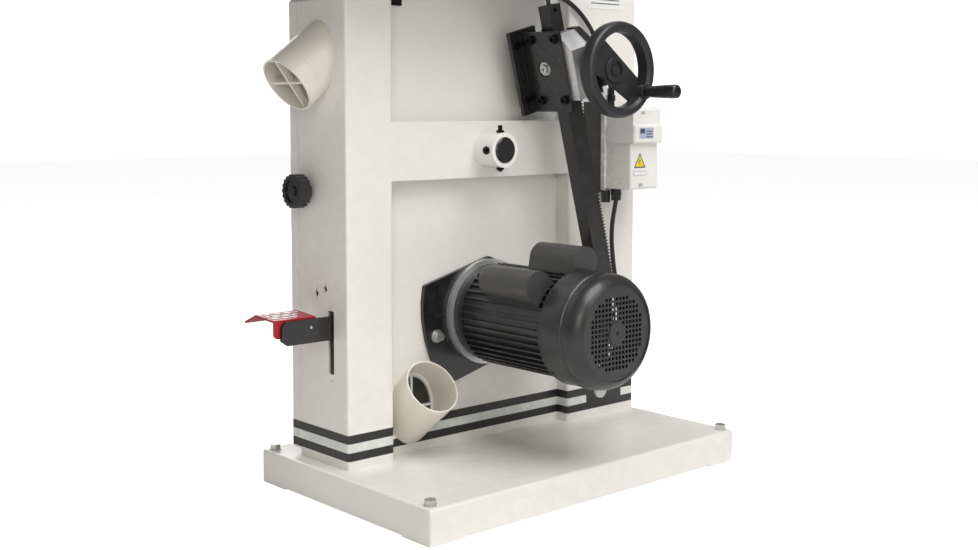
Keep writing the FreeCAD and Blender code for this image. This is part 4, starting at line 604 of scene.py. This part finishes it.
def make_labels():
    """Blank plates in the places of the machine's labels, with plain bars for print."""
    label("rating_plate", rectangle(*RATING_PLATE, 2.5), REAR, 0.5, "label")
    for i, (left, right) in enumerate(RATING_BARS):
        z = RATING_BAR_LOW + RATING_BAR_PITCH * i
        label(f"rating_bar_{i}", rectangle(left, right, z, z + RATING_BAR_HIGH), REAR + 0.45,
              PRINT_THICK, "ink")
    label("box_plate", rectangle(*BOX_PLATE, 1), BAND_FACE, 0.3, "blue")
    label("box_plate_mark", rectangle(*BOX_MARK), BAND_FACE + 0.28, PRINT_THICK, "ink")
    for i in range(3):
        z = BOX_BAR_LOW + BOX_BAR_PITCH * i
        label(f"box_plate_bar_{i}", rectangle(*BOX_BARS, z, z + BOX_BAR_HIGH), BAND_FACE + 0.28,
              PRINT_THICK, "ink")
    label("sign_border", SIGN_BORDER, SWITCH_FACE, 0.25, "ink")
    label("sign_face", SIGN_FACE, SWITCH_FACE + 0.2, 0.2, "yellow")
    label("sign_bolt", SIGN_BOLT, SWITCH_FACE + 0.36, PRINT_THICK, "ink")
    label("box_strip", rectangle(*BOX_STRIP, 1), SWITCH_FACE, 0.25, "blue")
    label("box_strip_face", rectangle(*BOX_STRIP_FACE, 1), SWITCH_FACE + 0.2, 0.15, "label")
    for name, low, face in CLIPS:
        label(f"box_clip_{name}", rectangle(CLIP_LEFT, CLIP_RIGHT, low, low + CLIP_HIGH, 1), face, 0.8,
              "clip")


# screws and other small hardware

PEDAL_HEEL = -65.0
PEDAL_TOP = 317.0
PEDAL_RISE = 3.5 / 57
MOTOR_CENTRE = Vector((12, 0, 292))
COVER_RADIUS = 97.5
COVER_SCREW_Y = 207.0
COVER_SCREW_ANGLES = (45, 135, 225, 315)
SLOT_SCREWS = (("low", 203.0), ("high", 327.0))
BUTTONS = (("start", 1215.0), ("stop", 1145.0))


def screw(name, centre, axis, radius, look, body):
    """A small domed screw head with a dished middle."""
    lathe(name, centre, axis, [(radius, 0), (radius, 0.35 * radius), (0.8 * radius, 0.62 * radius),
                               (0.42 * radius, 0.68 * radius), (0.38 * radius, 0.35 * radius)],
          look, body, 24)


def make_hardware():
    """Small screws, the seam of the fan cover and the collars of the two buttons."""
    for name, z in SLOT_SCREWS:
        screw(f"slot_screw_{name}", (RIGHT, -61, z), (1, 0, 0), 2.0, "grey", "frame")
    screw("arm_screw", (381, -59, 300), (0, 1, 0), 2.3, "insert", "brake")
    for i, degrees in enumerate(COVER_SCREW_ANGLES):
        angle = math.radians(degrees)
        out = Vector((math.cos(angle), 0, math.sin(angle)))
        screw(f"cover_screw_{i}", MOTOR_CENTRE + out * COVER_RADIUS + Vector((0, COVER_SCREW_Y, 0)),
              out, 3.6, "black", "frame")
    ring("cover_seam", MOTOR_CENTRE, (0, 1, 0), COVER_RADIUS + 1.2, COVER_RADIUS + 0.1, 202.5, 204.5,
         "motor", "frame", "motor_black")
    for name, z in BUTTONS:
        ring(f"{name}_collar", (-275, 0, z), (0, -1, 0), 19.0, 14.6, 199.9, 203.0, "steel", "frame",
             "zinc_steel")


def wobbly(x, y, reach, seed, size=1.0):
    """An irregular outline round a point, from a few fixed waves."""
    points = []
    for i in range(16):
        angle = math.tau * i / 16
        wave = 1 + 0.26 * math.sin(2 * angle + 1.7 * seed) + 0.17 * math.sin(3 * angle + 2.9 * seed)
        wave += 0.10 * math.sin(5 * angle + 4.1 * seed)
        points.append((x + size * reach[0] * wave * math.cos(angle),
                       y + size * reach[1] * wave * math.sin(angle)))
    return points


def tread_top(y):
    """The height of the tread's upper face, which climbs towards the toe."""
    return PEDAL_TOP + (PEDAL_HEEL - y) * PEDAL_RISE


# each patch as X, Y and its half size both ways
TREAD_PATCHES = ((402, -78, (8, 5)), (419, -77, (8, 4.5)), (437, -81, (8, 6)), (392, -92, (7, 5)),
                 (408, -93, (8, 6)), (426, -95, (9, 6)), (441, -98, (5, 6)), (380, -108, (6, 4)),
                 (396, -109, (8, 5)), (414, -110, (8, 5)), (433, -112, (8, 5)))


def make_pedal_tread():
    """Rubbed white patches with dark rims on the tread, where the paint has worn off."""
    for i, (x, y, reach) in enumerate(TREAD_PATCHES):
        for word, size, look, low, high in (("rim", 1.0, "ink", 0.05, 0.35),
                                            ("worn", 0.80, "label", 0.34, 0.55)):
            outline = wobbly(x, y, reach, i + 1, size)
            solid(f"tread_{word}_{i}", [[(a, b, tread_top(b) + low) for a, b in outline],
                                        [(a, b, tread_top(b) + high) for a, b in outline]],
                  look, "brake")


# the saw blade

BLADE_X, BLADE_LOW, BLADE_HIGH, BLADE_RADIUS = 30.0, 588.0, 1645.0, 240.8
STRAIGHT = BLADE_HIGH - BLADE_LOW
BEND = math.pi * BLADE_RADIUS
TOOTH_COUNT = round(2 * (STRAIGHT + BEND) / 12.0)
TOOTH_PITCH = 2 * (STRAIGHT + BEND) / TOOTH_COUNT
TOOTH_ROOT, TOOTH_TIP = -116.7, -120.4
TOOTH_HALF_THICK = 0.38
# each corner of a tooth as a share of the pitch, and its Y
TOOTH = ((0.0, TOOTH_ROOT), (0.55, TOOTH_ROOT), (0.1, TOOTH_TIP))


def blade_point(run):
    """A point of the blade's loop at a distance along it, and the way out of the loop there."""
    if run < STRAIGHT:
        return Vector((BLADE_X + BLADE_RADIUS, 0, BLADE_LOW + run)), Vector((1, 0, 0))
    run -= STRAIGHT
    if run < BEND:
        out = Vector((math.cos(run / BLADE_RADIUS), 0, math.sin(run / BLADE_RADIUS)))
        return Vector((BLADE_X, 0, BLADE_HIGH)) + out * BLADE_RADIUS, out
    run -= BEND
    if run < STRAIGHT:
        return Vector((BLADE_X - BLADE_RADIUS, 0, BLADE_HIGH - run)), Vector((-1, 0, 0))
    run -= STRAIGHT
    out = Vector((-math.cos(run / BLADE_RADIUS), 0, -math.sin(run / BLADE_RADIUS)))
    return Vector((BLADE_X, 0, BLADE_LOW)) + out * BLADE_RADIUS, out


def make_teeth():
    """The teeth along the front edge of the endless blade."""
    work = bmesh.new()
    for i in range(TOOTH_COUNT):
        sides = []
        for lean in (-TOOTH_HALF_THICK, TOOTH_HALF_THICK):
            corners = []
            for share, y in TOOTH:
                spot, out = blade_point(TOOTH_PITCH * (i + share))
                corners.append(work.verts.new((spot + out * lean + Vector((0, y, 0))) * MM))
            sides.append(corners)
        near, far = sides
        work.faces.new(near)
        work.faces.new(list(reversed(far)))
        for a in range(3):
            b = (a + 1) % 3
            work.faces.new((near[b], near[a], far[a], far[b]))
    bmesh.ops.recalc_face_normals(work, faces=work.faces)
    mesh = bpy.data.meshes.new("blade_teeth")
    work.to_mesh(mesh)
    work.free()
    piece("blade_teeth", mesh, "teeth", "frame")


# cords

FEED = [(-167, -103, 905), (-142.9, -103, 903), (-122, -90.9, 900), (-110, -70.1, 896),
        (-110, -45.9, 889), (-122, -25.1, 881.5), (-142.9, -13, 873), (-165, -9.5, 863.5),
        (-190, -8.5, 850), (-211, -8, 833), (-228, -7, 814.5), (-241, -6, 794.5),
        (-250, -4, 771.5), (-259, 0, 747), (-266, 4, 724.5), (-271, 7, 700)]
LEAD = [(-278, 16, 484), (-273, 15.5, 462), (-268.5, 15, 438), (-267, 15, 410), (-270, 15, 380),
        (-275, 15, 350), (-281, 16, 320), (-283, 22, 292), (-277, 34, 266), (-262, 50, 247),
        (-240, 66, 236), (-214, 78, 234), (-188, 90, 242), (-163, 98, 255), (-143, 100, 262)]
CORD_DIAMETER = 0.0086


def make_cord(name, route, node):
    """A round rubber cord on one smooth curve from gland to gland."""
    curve = bpy.data.curves.new(name, "CURVE")
    curve.dimensions = "3D"
    curve.bevel_depth = CORD_DIAMETER / 2
    curve.bevel_resolution = 5
    curve.resolution_u = 10
    curve.use_fill_caps = True
    spline = curve.splines.new("NURBS")
    spline.points.add(len(route) - 1)
    for point, place in zip(spline.points, route):
        point.co = (*(Vector(place) * MM), 1)
    spline.order_u = 3
    spline.use_endpoint_u = True
    item = link(bpy.data.objects.new(name, curve))
    curve.materials.append(LOOKS["cord"][0])
    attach(item, "frame")
    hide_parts(node)


make_camera()
make_cord("feed_lead", FEED, "feed_cord")
make_cord("motor_lead", LEAD, "motor_cord")
make_studio()
make_floor()
dress_nodes()
make_stripes()
make_labels()
make_hardware()
make_pedal_tread()
make_teeth()
